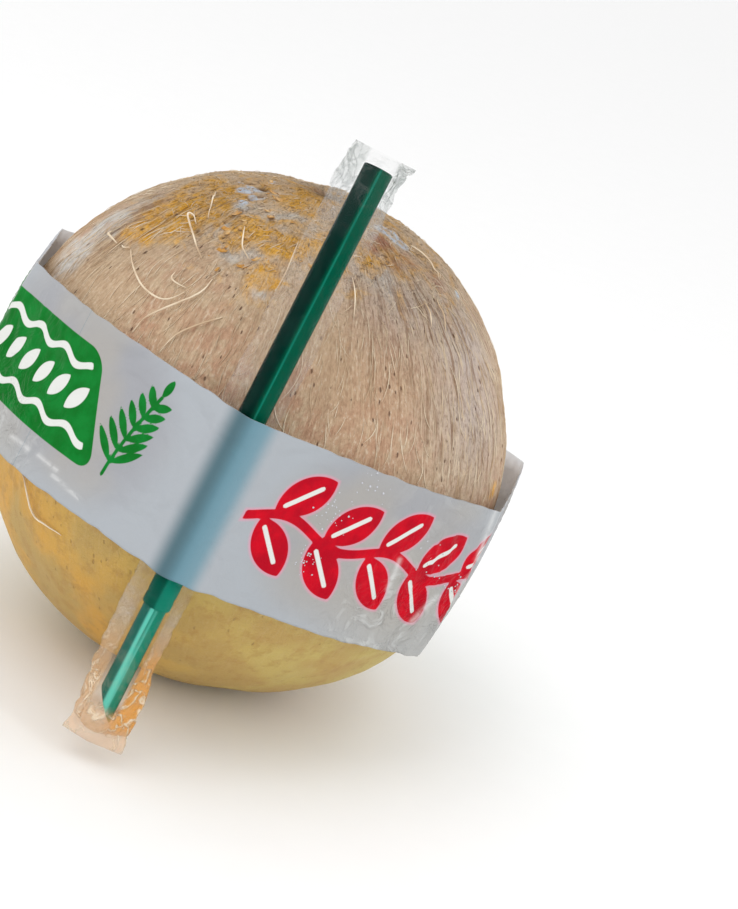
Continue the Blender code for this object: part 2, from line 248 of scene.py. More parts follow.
def on_nut(x, y):
    """Unit vector from the nut's middle to the place that a pixel of the photo shows."""
    across = (x - NUT_PIXEL[0]) / FOCAL_PIXELS
    upward = (NUT_PIXEL[1] - y) / FOCAL_PIXELS
    ray = (EYE_RIGHT * across + EYE_UP * upward - EYE_BACK).normalized()
    from_nut = EYE - CENTRE
    half = from_nut.dot(ray)
    inside = half * half - (from_nut.length_squared - NUT_RADIUS ** 2)
    reach = -half - math.sqrt(max(0.0, inside))
    return (from_nut + ray * reach).normalized()


def to_pixels(places):
    """Where points land in the photo's frame, and how far off they are."""
    from_eye = places - np.array(EYE)
    depth = -(from_eye @ np.array(EYE_BACK))
    across = NUT_PIXEL[0] + FOCAL_PIXELS * (from_eye @ np.array(EYE_RIGHT)) / depth
    downward = NUT_PIXEL[1] - FOCAL_PIXELS * (from_eye @ np.array(EYE_UP)) / depth
    return across, downward, depth


def angle_from(directions, axis):
    return np.arccos(np.clip(directions @ np.array(axis), -1.0, 1.0))


def closeness(directions, places):
    """How close each direction is to marked places, from 0 to 1."""
    total = np.zeros(len(directions))
    for x, y, reach, amount in places:
        apart = angle_from(directions, on_nut(x, y)) * NUT_RADIUS
        total = np.maximum(total, amount * np.exp(-(apart / (reach * MM)) ** 2))
    return total


# Meshes

def noise_of(points):
    """Blender's smooth noise at each row of an array."""
    return np.array([noise.noise(point) for point in points.tolist()])


def ring_faces(first, second, count):
    """Quads between two rings of points, each given by its first point."""
    turn = [(i, (i + 1) % count) for i in range(count)]
    return [[first + i, first + after, second + after, second + i] for i, after in turn]


def grid_faces(rows, count, first=0):
    """Quads between rings of points that follow each other."""
    faces = []
    for row in range(rows - 1):
        faces += ring_faces(first + row * count, first + (row + 1) * count, count)
    return faces


def fan(tip, first, count):
    return [[tip, first + i, first + (i + 1) % count] for i in range(count)]


def disc(first, count):
    return [list(range(first, first + count))]


def turned(faces):
    return [face[::-1] for face in faces]


def closed_faces(rows, count, first):
    """Faces of a closed tube: its rings and both its ends."""
    last = first + (rows - 1) * count
    return grid_faces(rows, count, first) + turned(disc(first, count)) + disc(last, count)


def spokes(across, other, count):
    """Directions round a circle."""
    turns = [math.tau * k / count for k in range(count)]
    return [across * math.cos(turn) + other * math.sin(turn) for turn in turns]


def add_object(name, data):
    made = bpy.data.objects.new(name, data)
    bpy.context.scene.collection.objects.link(made)
    return made


def add_mesh(name, points, faces, finish):
    mesh = bpy.data.meshes.new(name)
    mesh.from_pydata(np.asarray(points).tolist(), [], faces)
    mesh.update()
    mesh.shade_smooth()
    mesh.materials.append(finish)
    return add_object(name, mesh)


def add_piece(name, points, faces, finish, node=None):
    """Adds a smooth mesh as a piece of the object."""
    piece = add_mesh(name, points, faces, finish)
    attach(piece, BODY)
    if node:
        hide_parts(node)
    return piece


def mark_points(piece, **values):
    """Stores a number for each point, which the finish reads by name."""
    for name, numbers in values.items():
        layer = piece.data.attributes.new(name, "FLOAT", "POINT")
        layer.data.foreach_set("value", np.asarray(numbers, np.float32).ravel())


def add_thread(points, faces, line, radii, sides):
    """A closed thread along a line."""
    first = len(points)
    line = [Vector(place) for place in line]
    across = (line[1] - line[0]).orthogonal().normalized()
    for i, place in enumerate(line):
        along = (line[min(i + 1, len(line) - 1)] - line[max(i - 1, 0)]).normalized()
        across = square_to(along, across)
        points += [place + spoke * radii[i] for spoke in spokes(across, along.cross(across), sides)]
    faces += closed_faces(len(line), sides, first)


# Tools for finishes

class Signal:
    """What a node puts out. Reckoning with signals adds math nodes."""

    def __init__(self, tree, socket):
        self.tree = tree
        self.socket = socket

    def __add__(self, other):
        return math_node("ADD", self, other)

    def __sub__(self, other):
        return math_node("SUBTRACT", self, other)

    def __mul__(self, other):
        return math_node("MULTIPLY", self, other)

    def __truediv__(self, other):
        return math_node("DIVIDE", self, other)

    def __pow__(self, other):
        return math_node("POWER", self, other)

    def __abs__(self):
        return math_node("ABSOLUTE", self)


def connect(tree, socket, value):
    """Links a signal to a socket, or sets a number or colour on it."""
    if isinstance(value, Signal):
        tree.links.new(value.socket, socket)
    else:
        socket.default_value = (*value, 1.0) if socket.type == "RGBA" else value


def add_node(tree, kind, result, values=None, **settings):
    """Adds a node. result names the output to return, or several of them."""
    node = tree.nodes.new(kind)
    for key, value in settings.items():
        setattr(node, key, value)
    for key, value in (values or {}).items():
        connect(tree, node.inputs[key], value)
    if isinstance(result, tuple):
        return [Signal(tree, node.outputs[name]) for name in result]
    return Signal(tree, node.outputs[result])


def math_node(operation, first, second=0.0):
    return add_node(first.tree, "ShaderNodeMath", 0, {0: first, 1: second}, operation=operation)


def vector_node(operation, first, second=None, scale=None):
    given = {0: first, 1: second, "Scale": scale}
    given = {key: value for key, value in given.items() if value is not None}
    result = "Value" if operation == "DOT_PRODUCT" else "Vector"
    return add_node(first.tree, "ShaderNodeVectorMath", result, given, operation=operation)


def dot(place, axis):
    return vector_node("DOT_PRODUCT", place, axis)


def blend(share, first, second, way="MIX"):
    values = {0: share, 6: first, 7: second}
    return add_node(share.tree, "ShaderNodeMix", 2, values, data_type="RGBA", blend_type=way)


def layered(colour, *layers):
    """Lays colours over a colour. A layer is its share, its colour and, if not mixed, its way."""
    for share, *laid in layers:
        colour = blend(share, colour, *laid)
    return colour


def between(value, low, high, start=0.0, end=1.0):
    """Maps low to start and high to end, smooth and clamped."""
    values = {0: value, 1: low, 2: high, 3: start, 4: end}
    return add_node(value.tree, "ShaderNodeMapRange", 0, values, interpolation_type="SMOOTHSTEP")


def noise_value(place, scale, detail=3.0, rough=0.5, shift=0.0):
    values = {"Vector": place, "Scale": scale, "Detail": detail, "Roughness": rough, "Distortion": shift}
    return add_node(place.tree, "ShaderNodeTexNoise", "Fac", values)


def mark(finish, name):
    """A number stored on the mesh's points."""
    return add_node(finish.node_tree, "ShaderNodeAttribute", "Fac", attribute_name=name)


def new_group(name, numbers, **results):
    """A shared effect of a place and numbers. results are its outputs and their kinds."""
    group = bpy.data.node_groups.new(name, "ShaderNodeTree")
    group.interface.new_socket("Place", in_out="INPUT", socket_type="NodeSocketVector")
    for label, number in numbers.items():
        socket = group.interface.new_socket(label, in_out="INPUT", socket_type="NodeSocketFloat")
        socket.default_value = number
    for label, kind in results.items():
        group.interface.new_socket(label, in_out="OUTPUT", socket_type="NodeSocket" + kind)
    given = add_node(group, "NodeGroupInput", ("Place", *numbers))
    return group, group.nodes.new("NodeGroupOutput").inputs, given


def place_group(group, result, place, **numbers):
    values = {"Place": place, **numbers}
    return add_node(place.tree, "ShaderNodeGroup", result, values, node_tree=group)


def new_finish(name):
    """A material, and the place on the object that its nodes start from."""
    finish = bpy.data.materials.new(name)
    finish.use_nodes = True
    return finish, add_node(finish.node_tree, "ShaderNodeTexCoord", "Object")


def set_shader(finish, relief=None, depth=0.0, strength=1.0, **values):
    """Sets or links the inputs of the finish's shader, with its relief as a bump."""
    tree = finish.node_tree
    if relief:
        bump = {"Height": relief, "Distance": depth, "Strength": strength}
        values["Normal"] = add_node(tree, "ShaderNodeBump", 0, bump)
    for key, value in values.items():
        connect(tree, tree.nodes["Principled BSDF"].inputs[key.replace("_", " ")], value)
    return finish


# Shared effects

def husk_grain_group():
    """Places along and across the husk's fibres: round the stem axis, and down from the stem end."""
    group, made, (place, around, down, waver) = new_group(
        "husk_grain", {"Round": 50.0, "Down": 3.0, "Waver": 0.02}, Grain="Vector")
    out = vector_node("NORMALIZE", vector_node("SUBTRACT", place, CENTRE))
    wander = add_node(group, "ShaderNodeTexNoise", "Color", {"Vector": out, "Scale": 3.0, "Detail": 2.0})
    shift = vector_node("SCALE", vector_node("SUBTRACT", wander, (0.5, 0.5, 0.5)), scale=waver)
    x, y, z = add_node(group, "ShaderNodeSeparateXYZ", (0, 1, 2), {0: vector_node("ADD", out, shift)})
    ring = vector_node("NORMALIZE", add_node(group, "ShaderNodeCombineXYZ", 0, {0: x, 1: y}))
    angle = math_node("ARCCOSINE", math_node("MINIMUM", z, 0.9999))
    drop = add_node(group, "ShaderNodeCombineXYZ", 0, {2: angle * down})
    connect(group, made["Grain"], vector_node("ADD", vector_node("SCALE", ring, scale=around), drop))
    return group


def film_crease_group():
    """Soft creases of thin film: a height, and a mask of the sharp ridges."""
    group, made, (place, size, sharpness) = new_group(
        "film_creases", {"Size": 120.0, "Sharpness": 0.06}, Height="Float", Ridges="Float")
    folded = abs(noise_value(place, size, 3.0, 0.55, 0.8) - 0.5)
    ridges = between(folded, 0.0, sharpness, 1.0, 0.0)
    connect(group, made["Height"], ridges * 0.6 + noise_value(place, size * 0.45, 2.0))
    connect(group, made["Ridges"], ridges)
    return group


HUSK_GRAIN = husk_grain_group()
FILM_CREASES = film_crease_group()


# Finishes, each with its colours

TAN = (0.525, 0.365, 0.23)
TAN_RED = (0.515, 0.30, 0.19)
TAN_PALE = (0.57, 0.415, 0.27)
TAN_WORN = (0.70, 0.53, 0.36)
# Painted sheen along the right edge
LILAC_SHEEN = (0.63, 0.53, 0.48)
# Yellow and orange below the band: painted bounce light from an orange surface under the nut
SMOOTH = (0.54, 0.425, 0.135)
BOUNCE_ORANGE_LEFT = (0.645, 0.34, 0.055)
SMOOTH_BROWN = (0.49, 0.325, 0.10)
SMOOTH_SPOT = (0.41, 0.225, 0.055)
# Dry grey fuzz, and a painted sheen at the left edge and around the glints
GREY_FUZZ_AND_SHEEN = (0.65, 0.62, 0.58)
OCHRE_DARK = (0.56, 0.24, 0.012)
OCHRE_BRIGHT = (1.0, 0.56, 0.08)
RUST_RED = (0.44, 0.18, 0.10)
# Painted shade in the hollows between the fibres
FLECK_SHADE = (0.60, 0.53, 0.48)
FLECK_PALE = (0.74, 0.61, 0.46)
CREAM = (0.72, 0.555, 0.375)
FIBRE_PALE = (0.76, 0.62, 0.45)
# Painted shade in the grooves between the long fibres
GROOVE_SHADE = (0.25, 0.13, 0.06)
DASH_BROWN = (0.19, 0.095, 0.05)
# Painted shade among the torn fibres by the stem end
TORN_SHADE = (0.22, 0.18, 0.15)
GLINT_BLUE = (0.66, 0.72, 0.82)
# Painted shade inside the holes
HOLLOW_SHADE = (0.13, 0.06, 0.03)


def fibre_noise(place, around, down, waver, detail, rough):
    """Noise drawn out along the husk's fibres."""
    grain = place_group(HUSK_GRAIN, "Grain", place, Round=around, Down=down, Waver=waver)
    return noise_value(grain, 1.0, detail, rough)


def husk_dashes(place, fuzz):
    """Short dark dashes along the fibres, ragged, where about every second one is left out."""
    grain = place_group(HUSK_GRAIN, "Grain", place, Round=33.0, Down=15.0, Waver=0.04)
    values = {"Vector": grain, "Scale": 1.0, "Randomness": 1.0}
    apart, tone = add_node(place.tree, "ShaderNodeTexVoronoi", ("Distance", "Color"), values)
    kept, size = add_node(place.tree, "ShaderNodeSeparateColor", (0, 1), {0: tone})
    ragged = (fuzz - 0.5) * 0.16 + apart
    return between(ragged / (size * 0.10 + 0.11), 1.0, 0.45) * between(kept, 0.34, 0.42)


def husk_tan(finish, clouds, mottle):
    """Tan husk, paler where it is torn, combed or worn, and lilac along its right edge, where that is a
    painted sheen.
    """
    worn = math_node("MAXIMUM", mark(finish, "rough") * 0.8, mark(finish, "combed") * 0.4)
    return layered(
        blend(between(clouds, 0.36, 0.62), TAN, TAN_RED),
        (between(mottle, 0.40, 0.66), TAN_PALE),
        (worn, TAN_WORN),
        (mark(finish, "lilac_sheen"), LILAC_SHEEN))


def husk_smooth(finish, clouds, mottle):
    """Yellow husk below the band, where the knife has left it smooth. The yellow, and the orange on the lower
    left, are painted bounce light from an orange surface under the nut.
    """
    return layered(
        blend(mark(finish, "bounce_left"), SMOOTH, BOUNCE_ORANGE_LEFT),
        (between(clouds, 0.42, 0.62), SMOOTH_BROWN),
        (between(mottle, 0.52, 0.36) * 0.42, SMOOTH_SPOT))


def husk_finish():
    """Shaved husk: tan and fibrous, ochre and grey by the stem end, and smooth below the band, where its
    yellow is painted bounce light. It carries painted shade between its fibres, in its grooves, holes and
    torn places, and painted sheen and glints.
    """
    finish, place = new_finish("shaved_husk")
    rough, combed, low = mark(finish, "rough"), mark(finish, "combed"), mark(finish, "shaved")
    clouds = noise_value(place, 48.0, 3.0, 0.55)
    torn = noise_value(place, 120.0, 4.0, 0.65, 0.8) - 0.5
    mottle = noise_value(place, 260.0, 4.0, 0.65)
    fuzz = noise_value(place, 800.0, 4.0, 0.7, 1.5)
    short_fibres = fibre_noise(place, 74.0, 11.0, 0.05, 4.0, 0.65)
    long_fibres = fibre_noise(place, 46.0, 4.0, 0.07, 4.0, 0.6)
    flecks = fibre_noise(place, 95.0, 42.0, 0.05, 3.0, 0.65)

    patchy = between(mottle, 0.34, 0.58) * 0.6 + 0.4
    grey = mark(finish, "grey") - torn * 1.1
    ochre = math_node("MAXIMUM", mark(finish, "ochre"), rough * 0.34) + torn * 1.3
    plain = low * -0.8 + 0.9
    shaded = (combed * 0.5 + 0.42) * plain
    dashes = husk_dashes(place, fuzz) * (low * -0.62 + 0.9)
    glint = between(mark(finish, "glint"), 0.20, 0.60) * between(mottle, 0.36, 0.52)
    glint = glint * between(fuzz, 0.34, 0.50)
    colour = layered(
        # Below the band, the yellow is painted bounce light from an orange surface under the nut
        blend(low, husk_tan(finish, clouds, mottle), husk_smooth(finish, clouds, mottle)),
        # Grey fuzz, and painted sheen at the left edge and by the glints
        (between(grey, 0.18, 0.75) * patchy, GREY_FUZZ_AND_SHEEN),
        (between(ochre, 0.20, 0.62) * patchy, blend(fuzz, OCHRE_DARK, OCHRE_BRIGHT)),
        (between(mark(finish, "rust"), 0.10, 0.70) * patchy, RUST_RED),
        # Painted shade in the hollows between the fibres
        (between(flecks, 0.52, 0.34) * shaded, FLECK_SHADE, "MULTIPLY"),
        (between(flecks, 0.55, 0.70) * plain * 0.75, FLECK_PALE),
        (between(short_fibres, 0.54, 0.68) * plain * (combed * 0.45 + 0.50), CREAM),
        (between(long_fibres, 0.58, 0.70) * plain * combed * 0.8, FIBRE_PALE),
        # Painted shade in the grooves between the long fibres
        (between(long_fibres, 0.49, 0.37) * plain * (combed * 0.66 + 0.12), GROOVE_SHADE),
        (dashes, DASH_BROWN),
        # Painted shade among the torn fibres by the stem end
        (between(fuzz, 0.49, 0.34) * rough * 0.7, TORN_SHADE, "MULTIPLY"),
        (glint, GLINT_BLUE),
        # Painted shade inside the holes
        (between(mark(finish, "hollow"), 0.25, 0.75) * 0.8, HOLLOW_SHADE))

    relief = (short_fibres + long_fibres) * (combed * 0.8 + 0.4) * plain - dashes * 0.5
    relief = relief + flecks * shaded * 0.8 + fuzz * (rough * 1.1 + 0.22)
    return set_shader(finish, relief, 1.1 * MM, Base_Color=colour, Specular_IOR_Level=0.3,
                      Roughness=glint * -0.4 + (low * -0.2 + 0.72))


STRAND_BROWN = (0.60, 0.43, 0.27)
STRAND_CREAM = (0.86, 0.74, 0.56)


def strand_finish():
    """Loose fibres, cream, with darker lengths."""
    finish, place = new_finish("loose_fibre")
    colour = blend(between(noise_value(place, 130.0, 2.0), 0.35, 0.65), STRAND_BROWN, STRAND_CREAM)
    relief = noise_value(place, 2500.0, 2.0)
    return set_shader(finish, relief, 0.1 * MM, Base_Color=colour, Roughness=0.6)


FLAKE_OCHRE = (0.50, 0.23, 0.03)
FLAKE_TAN = (0.62, 0.42, 0.20)
FLAKE_BROWN = (0.28, 0.13, 0.05)


def flake_finish():
    """Torn husk, ochre with dark and pale fibres."""
    finish, place = new_finish("torn_husk")
    tone = between(noise_value(place, 300.0, 3.0, 0.6), 0.38, 0.62)
    grain = noise_value(place, 1500.0, 3.0, 0.6)
    colour = layered(blend(tone, FLAKE_OCHRE, FLAKE_TAN), (between(grain, 0.50, 0.34), FLAKE_BROWN))
    return set_shader(finish, grain, 0.2 * MM, Base_Color=colour, Roughness=0.75)


FILM_COOL = (0.345, 0.35, 0.375)
FILM_WARM = (0.385, 0.37, 0.355)
# Painted light through the film where it stands off the nut, and on its inner face
FILM_LIT_THROUGH = (0.40, 0.425, 0.455)
INNER_FACE_LIT_THROUGH = (0.86, 0.88, 0.91)
FILM_SLACK = (0.435, 0.42, 0.385)
# The straw under the film, with painted shade along its left and painted light on its right
STRAW_SHADE_UNDER_FILM = (0.085, 0.155, 0.185)
STRAW_LIT_UNDER_FILM = (0.14, 0.285, 0.355)
FILM_RIDGE = (0.62, 0.63, 0.62)
# Painted glare streaks
GLARE_WHITE = (0.84, 0.84, 0.83)
GREEN_INK = ((0.0, 0.145, 0.012), (0.002, 0.20, 0.025))
RED_INK = ((0.44, 0.0, 0.012), (0.62, 0.001, 0.014))
RED_HALO = (0.76, 0.30, 0.42)
BARE_FILM = (0.72, 0.73, 0.70)


def film_finish():
    """Milky printed film: nut and straw show through it, and it carries the printed shapes. Light through the
    film where it stands off the nut and on its inner face, shade and light across the straw under it, and
    glare streaks are painted.
    """
    finish, place = new_finish("printed_film")
    clouds = noise_value(place, 38.0, 2.0, 0.5)
    slack = noise_value(place, 75.0, 2.0, 0.5, 0.6)
    crease = noise_value(place, 170.0, 3.0, 0.6, 1.2)
    ink = between(noise_value(place, 160.0, 3.0, 0.6), 0.35, 0.7)
    side, wrinkled = mark(finish, "straw_side"), mark(finish, "wrinkled")
    green, red, white = (mark(finish, "print_" + name) for name in ("green", "red", "white"))
    printed = math_node("MAXIMUM", between(red, 0.1, -0.1), between(green, 0.1, -0.1))
    colour = layered(
        blend(between(clouds, 0.40, 0.62), FILM_COOL, FILM_WARM),
        # Painted light through the film where it stands off the nut, and on its inner face
        (mark(finish, "stand_off"), FILM_LIT_THROUGH),
        (mark(finish, "inner_face"), INNER_FACE_LIT_THROUGH),
        (wrinkled * 0.6, FILM_SLACK),
        # The straw under the film, with painted shade along its left and painted light on its right
        (between(side, -6.5, -2.0) * between(side, 4.0, 0.0), STRAW_SHADE_UNDER_FILM),
        (between(side, -2.0, 2.0) * between(side, 7.5, 3.5) * 0.85, STRAW_LIT_UNDER_FILM),
        (between(crease, 0.52, 0.64) * wrinkled * 0.5, FILM_RIDGE),
        (between(green, 0.12, -0.12), blend(ink, *GREEN_INK)),
        (between(red, 0.9, 0.1) * 0.6, RED_HALO),
        (between(red, 0.12, -0.12), blend(ink, *RED_INK)),
        (between(white, 0.12, -0.12) * printed, BARE_FILM),
        # Painted glare streaks, broken along the creases
        (mark(finish, "pale_crease") * between(crease, 0.30, 0.50) * 0.42, GLARE_WHITE))
    relief = slack + noise_value(place, 420.0, 2.0) * 0.06 + crease * (wrinkled * 1.3 + 0.1)
    return set_shader(finish, relief, 1.6 * MM, Base_Color=colour, Roughness=clouds * 0.2 + 0.22,
                      Specular_IOR_Level=0.08)


# Straw greens: its side in painted shade and its side in painted light, the same near its foot, and its
# painted sheen
UPPER_GREENS = ((0.0, 0.017, 0.012), (0.0, 0.075, 0.040), (0.0, 0.07, 0.045), (0.004, 0.19, 0.125),
                (0.004, 0.17, 0.11))
LOWER_GREENS = ((0.006, 0.10, 0.075), (0.002, 0.20, 0.125), (0.010, 0.105, 0.08), (0.003, 0.20, 0.125),
                (0.11, 0.54, 0.43))
UPPER_SHEEN = (0.6 * MM, 0.28 * MM)  # how far right of the middle it lies, and half its width
LOWER_SHEEN = (0.05 * MM, 1.15 * MM)
SCUFF_GREEN = (0.06, 0.26, 0.20)


def straw_finish(name, greens, sheen_at, sheen_half):
    """Green moulded plastic with fine lengthwise draw lines and scuffs. Its left half is painted in shade and
    its right half in light, with a painted sheen line along it.
    """
    finish, place = new_finish(name)
    dark, light, foot_dark, foot_light, sheen = greens
    side, out, along = (dot(place, axis) for axis in (STRAW_SIDE, STRAW_OUT, STRAW_AXIS))
    lines = add_node(place.tree, "ShaderNodeCombineXYZ", 0, {0: side, 1: out, 2: along * 0.02})
    drawn = noise_value(lines, 1400.0, 3.0)
    scuffs = between(noise_value(place, 260.0, 5.0, 0.7), 0.60, 0.72)
    across = side - STRAW_FOOT.dot(STRAW_SIDE)
    # Painted shade on its left half and painted light on its right half
    lit = between(across, -0.6 * MM, 0.5 * MM) + (drawn - 0.5) * 0.5
    foot = between(along - STRAW_FOOT.dot(STRAW_AXIS), -12.0 * MM, -24.0 * MM)
    # A painted sheen line along the straw
    line = between(abs(across - sheen_at), sheen_half, 0.4 * sheen_half) * between(drawn, 0.22, 0.50)
    colour = layered(
        blend(lit, blend(foot, dark, foot_dark), blend(foot, light, foot_light)),
        (line, sheen),
        (scuffs * 0.15, SCUFF_GREEN))
    return set_shader(finish, drawn, 0.04 * MM, Base_Color=colour, Roughness=scuffs * 0.25 + 0.16,
                      Specular_IOR_Level=0.04)


CLEAR_PALE = (0.72, 0.73, 0.77)
CLEAR_GREY = (0.46, 0.50, 0.48)
# Painted reflection of an orange surface under the sleeve's foot
FOOT_TAN_REFLECTION = (0.80, 0.46, 0.20)
FOOT_ORANGE_REFLECTION = (0.90, 0.44, 0.09)
CLEAR_CREAM = (0.92, 0.76, 0.55)


def clear_film_finish():
    """Clear thin film, seen by its gloss, a faint haze and its creases, with a painted tan and orange
    reflection of an orange surface at its foot.
    """
    finish, place = new_finish("clear_film")
    height, ridges = place_group(FILM_CREASES, ("Height", "Ridges"), place, Size=150.0, Sharpness=0.05)
    facing = add_node(place.tree, "ShaderNodeLayerWeight", "Facing", {"Blend": 0.4})
    crumple, beside = mark(finish, "crumple"), mark(finish, "beside")
    from_foot = vector_node("SUBTRACT", place, STRAW_FOOT)
    along, side = dot(from_foot, STRAW_AXIS), dot(from_foot, STRAW_SIDE)
    foot = between(along, -26.0 * MM, -50.0 * MM)
    # Painted orange reflection near the foot, beside the straw
    orange_reflection = between(side, 1.0 * MM, 4.5 * MM) * foot * between(along, -61.0 * MM, -57.0 * MM)
    lively = crumple * (beside * 0.85 + 0.15)
    blotches = between(noise_value(place, 70.0, 3.0, 0.6), 0.42, 0.66, 0.010, 0.055)
    haze = beside * blotches + 0.0005 + facing ** 3.0 * 0.16 + lively * 0.10
    haze = haze + ridges * (lively * 0.22 + 0.003) + beside * foot * 0.12 + beside * orange_reflection * 0.30
    tint = layered(
        blend(crumple, CLEAR_PALE, CLEAR_GREY),
        # Painted reflection of an orange surface at the foot
        (foot, FOOT_TAN_REFLECTION),
        (orange_reflection, FOOT_ORANGE_REFLECTION),
        (ridges * foot, CLEAR_CREAM))
    return set_shader(finish, height, 0.7 * MM, 0.7, Base_Color=tint, Metallic=0.3, Roughness=0.2, Alpha=haze)


def bead_finish():
    """Drops of water on the film."""
    finish, place = new_finish("water_bead")
    return set_shader(finish, noise_value(place, 900.0, 1.0), 0.05 * MM, Base_Color=(0.52, 0.53, 0.57),
                      Roughness=0.08, Coat_Weight=1.0, Coat_Roughness=0.03)


def floor_finish():
    finish, place = new_finish("pale_floor")
    colour = blend(noise_value(place, 90.0, 3.0), (0.93, 0.93, 0.93), (0.95, 0.95, 0.95))
    return set_shader(finish, Base_Color=colour, Roughness=0.75)


# Nut

def knife_flats():
    """Planes that trim the nut, as in its solid."""
    draw = random.Random(KNIFE_SEED)
    golden = math.pi * (3.0 - math.sqrt(5.0))
    normals = []
    distances = []
    for i in range(KNIFE_CUTS):
        height = 1.0 - 2.0 * (i + 0.5) / KNIFE_CUTS
        turn = i * golden + draw.uniform(-KNIFE_SHUFFLE, KNIFE_SHUFFLE)
        ring = math.sqrt(1.0 - height * height)
        normals.append((ring * math.cos(turn), ring * math.sin(turn), height))
        distances.append(NUT_RADIUS - draw.uniform(*KNIFE_DEPTHS))
    return np.array(normals), np.array(distances)


KNIFE_NORMALS, KNIFE_DISTANCES = knife_flats()


def nut_radii(directions):
    """Distance from the nut's middle to its surface, with the solid's form and finer relief."""
    down = angle_from(directions, UP)
    around = np.arctan2(directions[:, 1], directions[:, 0])

    def streaked(fineness, down_fineness, shift):
        ring = (fineness * np.cos(around), fineness * np.sin(around), down_fineness * down)
        return noise_of(np.stack(ring, 1) + np.array(shift))

    facing = directions @ KNIFE_NORMALS.T
    flats = KNIFE_DISTANCES / np.maximum(facing, KNIFE_FACING)
    cut = np.minimum(np.where(facing > KNIFE_FACING, flats, NUT_RADIUS).min(axis=1), NUT_RADIUS)
    stem = 1.0 - ramp(down, STEM_ROUGH_TO * STEM_END, STEM_END)
    dimple = 1.0 - ramp(down, 0.0, DIMPLE)
    share = 1.0 - (1.0 - SMOOTH_SHARE) * ramp(down, SMOOTH_FROM, SMOOTH_TO)
    bulge = angle_from(directions, Vector(BULGE_AT).normalized())
    dent = STREAK_DEPTH * (0.5 + 0.5 * streaked(*STREAKS)) * share * (1.0 - 0.6 * stem)
    dent += STEM_DEPTH * (0.5 + 0.5 * noise_of(directions * STEM_LUMPS)) * stem * (1.0 - 0.7 * dimple)
    dent += DIMPLE_DEPTH * dimple - BULGE * (1.0 - ramp(bulge, 0.0, BULGE_REACH))

    comb = np.minimum(1.0, 1.6 * np.abs(streaked(*COMBS)))
    dent += COMB_DEPTH * comb * (0.35 + closeness(directions, PLACES["combed"])) * share
    dent += FINE_DEPTH * (0.5 + 0.5 * streaked(*FINE_STREAKS)) * share
    dent += SHAG_DEPTH * (0.5 + 0.5 * noise_of(directions * SHAGS)) * stem
    dent += HOLE_DEPTH * closeness(directions, PLACES["hollow"])
    fade = ramp(FOOT_ANGLE - down, 0.0, FOOT_FADE)
    return NUT_RADIUS - (NUT_RADIUS - cut + dent) * fade


def above_nut(directions, lift):
    """Points that stand off the nut's surface by a lift."""
    return np.array(CENTRE) + directions * (nut_radii(directions) + lift)[:, None]


def polar(down, around):
    """Unit vectors from angles down from the stem end and round it."""
    return np.stack([np.sin(down) * np.cos(around), np.sin(down) * np.sin(around), np.cos(down)], -1)


def make_nut(finish):
    """The whole nut: rings down from the stem end, and a point at each end."""
    downs = FOOT_ANGLE * (np.arange(1, NUT_DOWN + 1) / NUT_DOWN)
    arounds = math.tau * np.arange(NUT_ROUND) / NUT_ROUND
    down, around = np.meshgrid(downs, arounds, indexing="ij")
    directions = np.concatenate([polar(down.ravel(), around.ravel()), [[0.0, 0.0, 1.0], [0.0, 0.0, -1.0]]])
    points = above_nut(directions, 0.0)
    crown = NUT_DOWN * NUT_ROUND
    last = crown - NUT_ROUND
    points[last:crown, 2] = 0.0
    points[crown + 1] = (0.0, 0.0, 0.0)
    faces = turned(grid_faces(NUT_DOWN, NUT_ROUND))
    faces += fan(crown, 0, NUT_ROUND) + turned(fan(crown + 1, last, NUT_ROUND))
    nut = add_piece("shaved_nut", points, faces, finish, "coconut")
    below = -(points - np.array(CENTRE)) @ np.array(BAND_AXIS)
    tilt = angle_from(directions, UP)
    behind = ramp(directions[:, 1], 0.0, 0.5)
    marks = {name: closeness(directions, places) for name, places in PLACES.items()}
    marks["combed"] = np.maximum(marks["combed"], 0.15 + 0.5 * behind)
    mark_points(nut, rough=1.0 - ramp(tilt, 0.7 * STEM_END, 1.7 * STEM_END),
                shaved=ramp(below, *SHAVED_SMOOTH), **marks)


# Fine fibres, lying along the husk's grain
FIBRE_SEED = 7
FIBRES = 1700
FIBRE_STEPS = 9
FIBRE_FROM = 8.0  # degrees down from the stem end
FIBRE_SPAN = 74.0
FIBRE_LENGTH = (3.0 * MM, 13.0 * MM)
FIBRE_THICK = (0.05 * MM, 0.11 * MM)
FIBRE_SWAY = math.radians(5.0)
FIBRE_TANGLE = math.radians(60.0)
FIBRE_LIFT = 0.16 * MM
FIBRE_BASE = 0.02 * MM


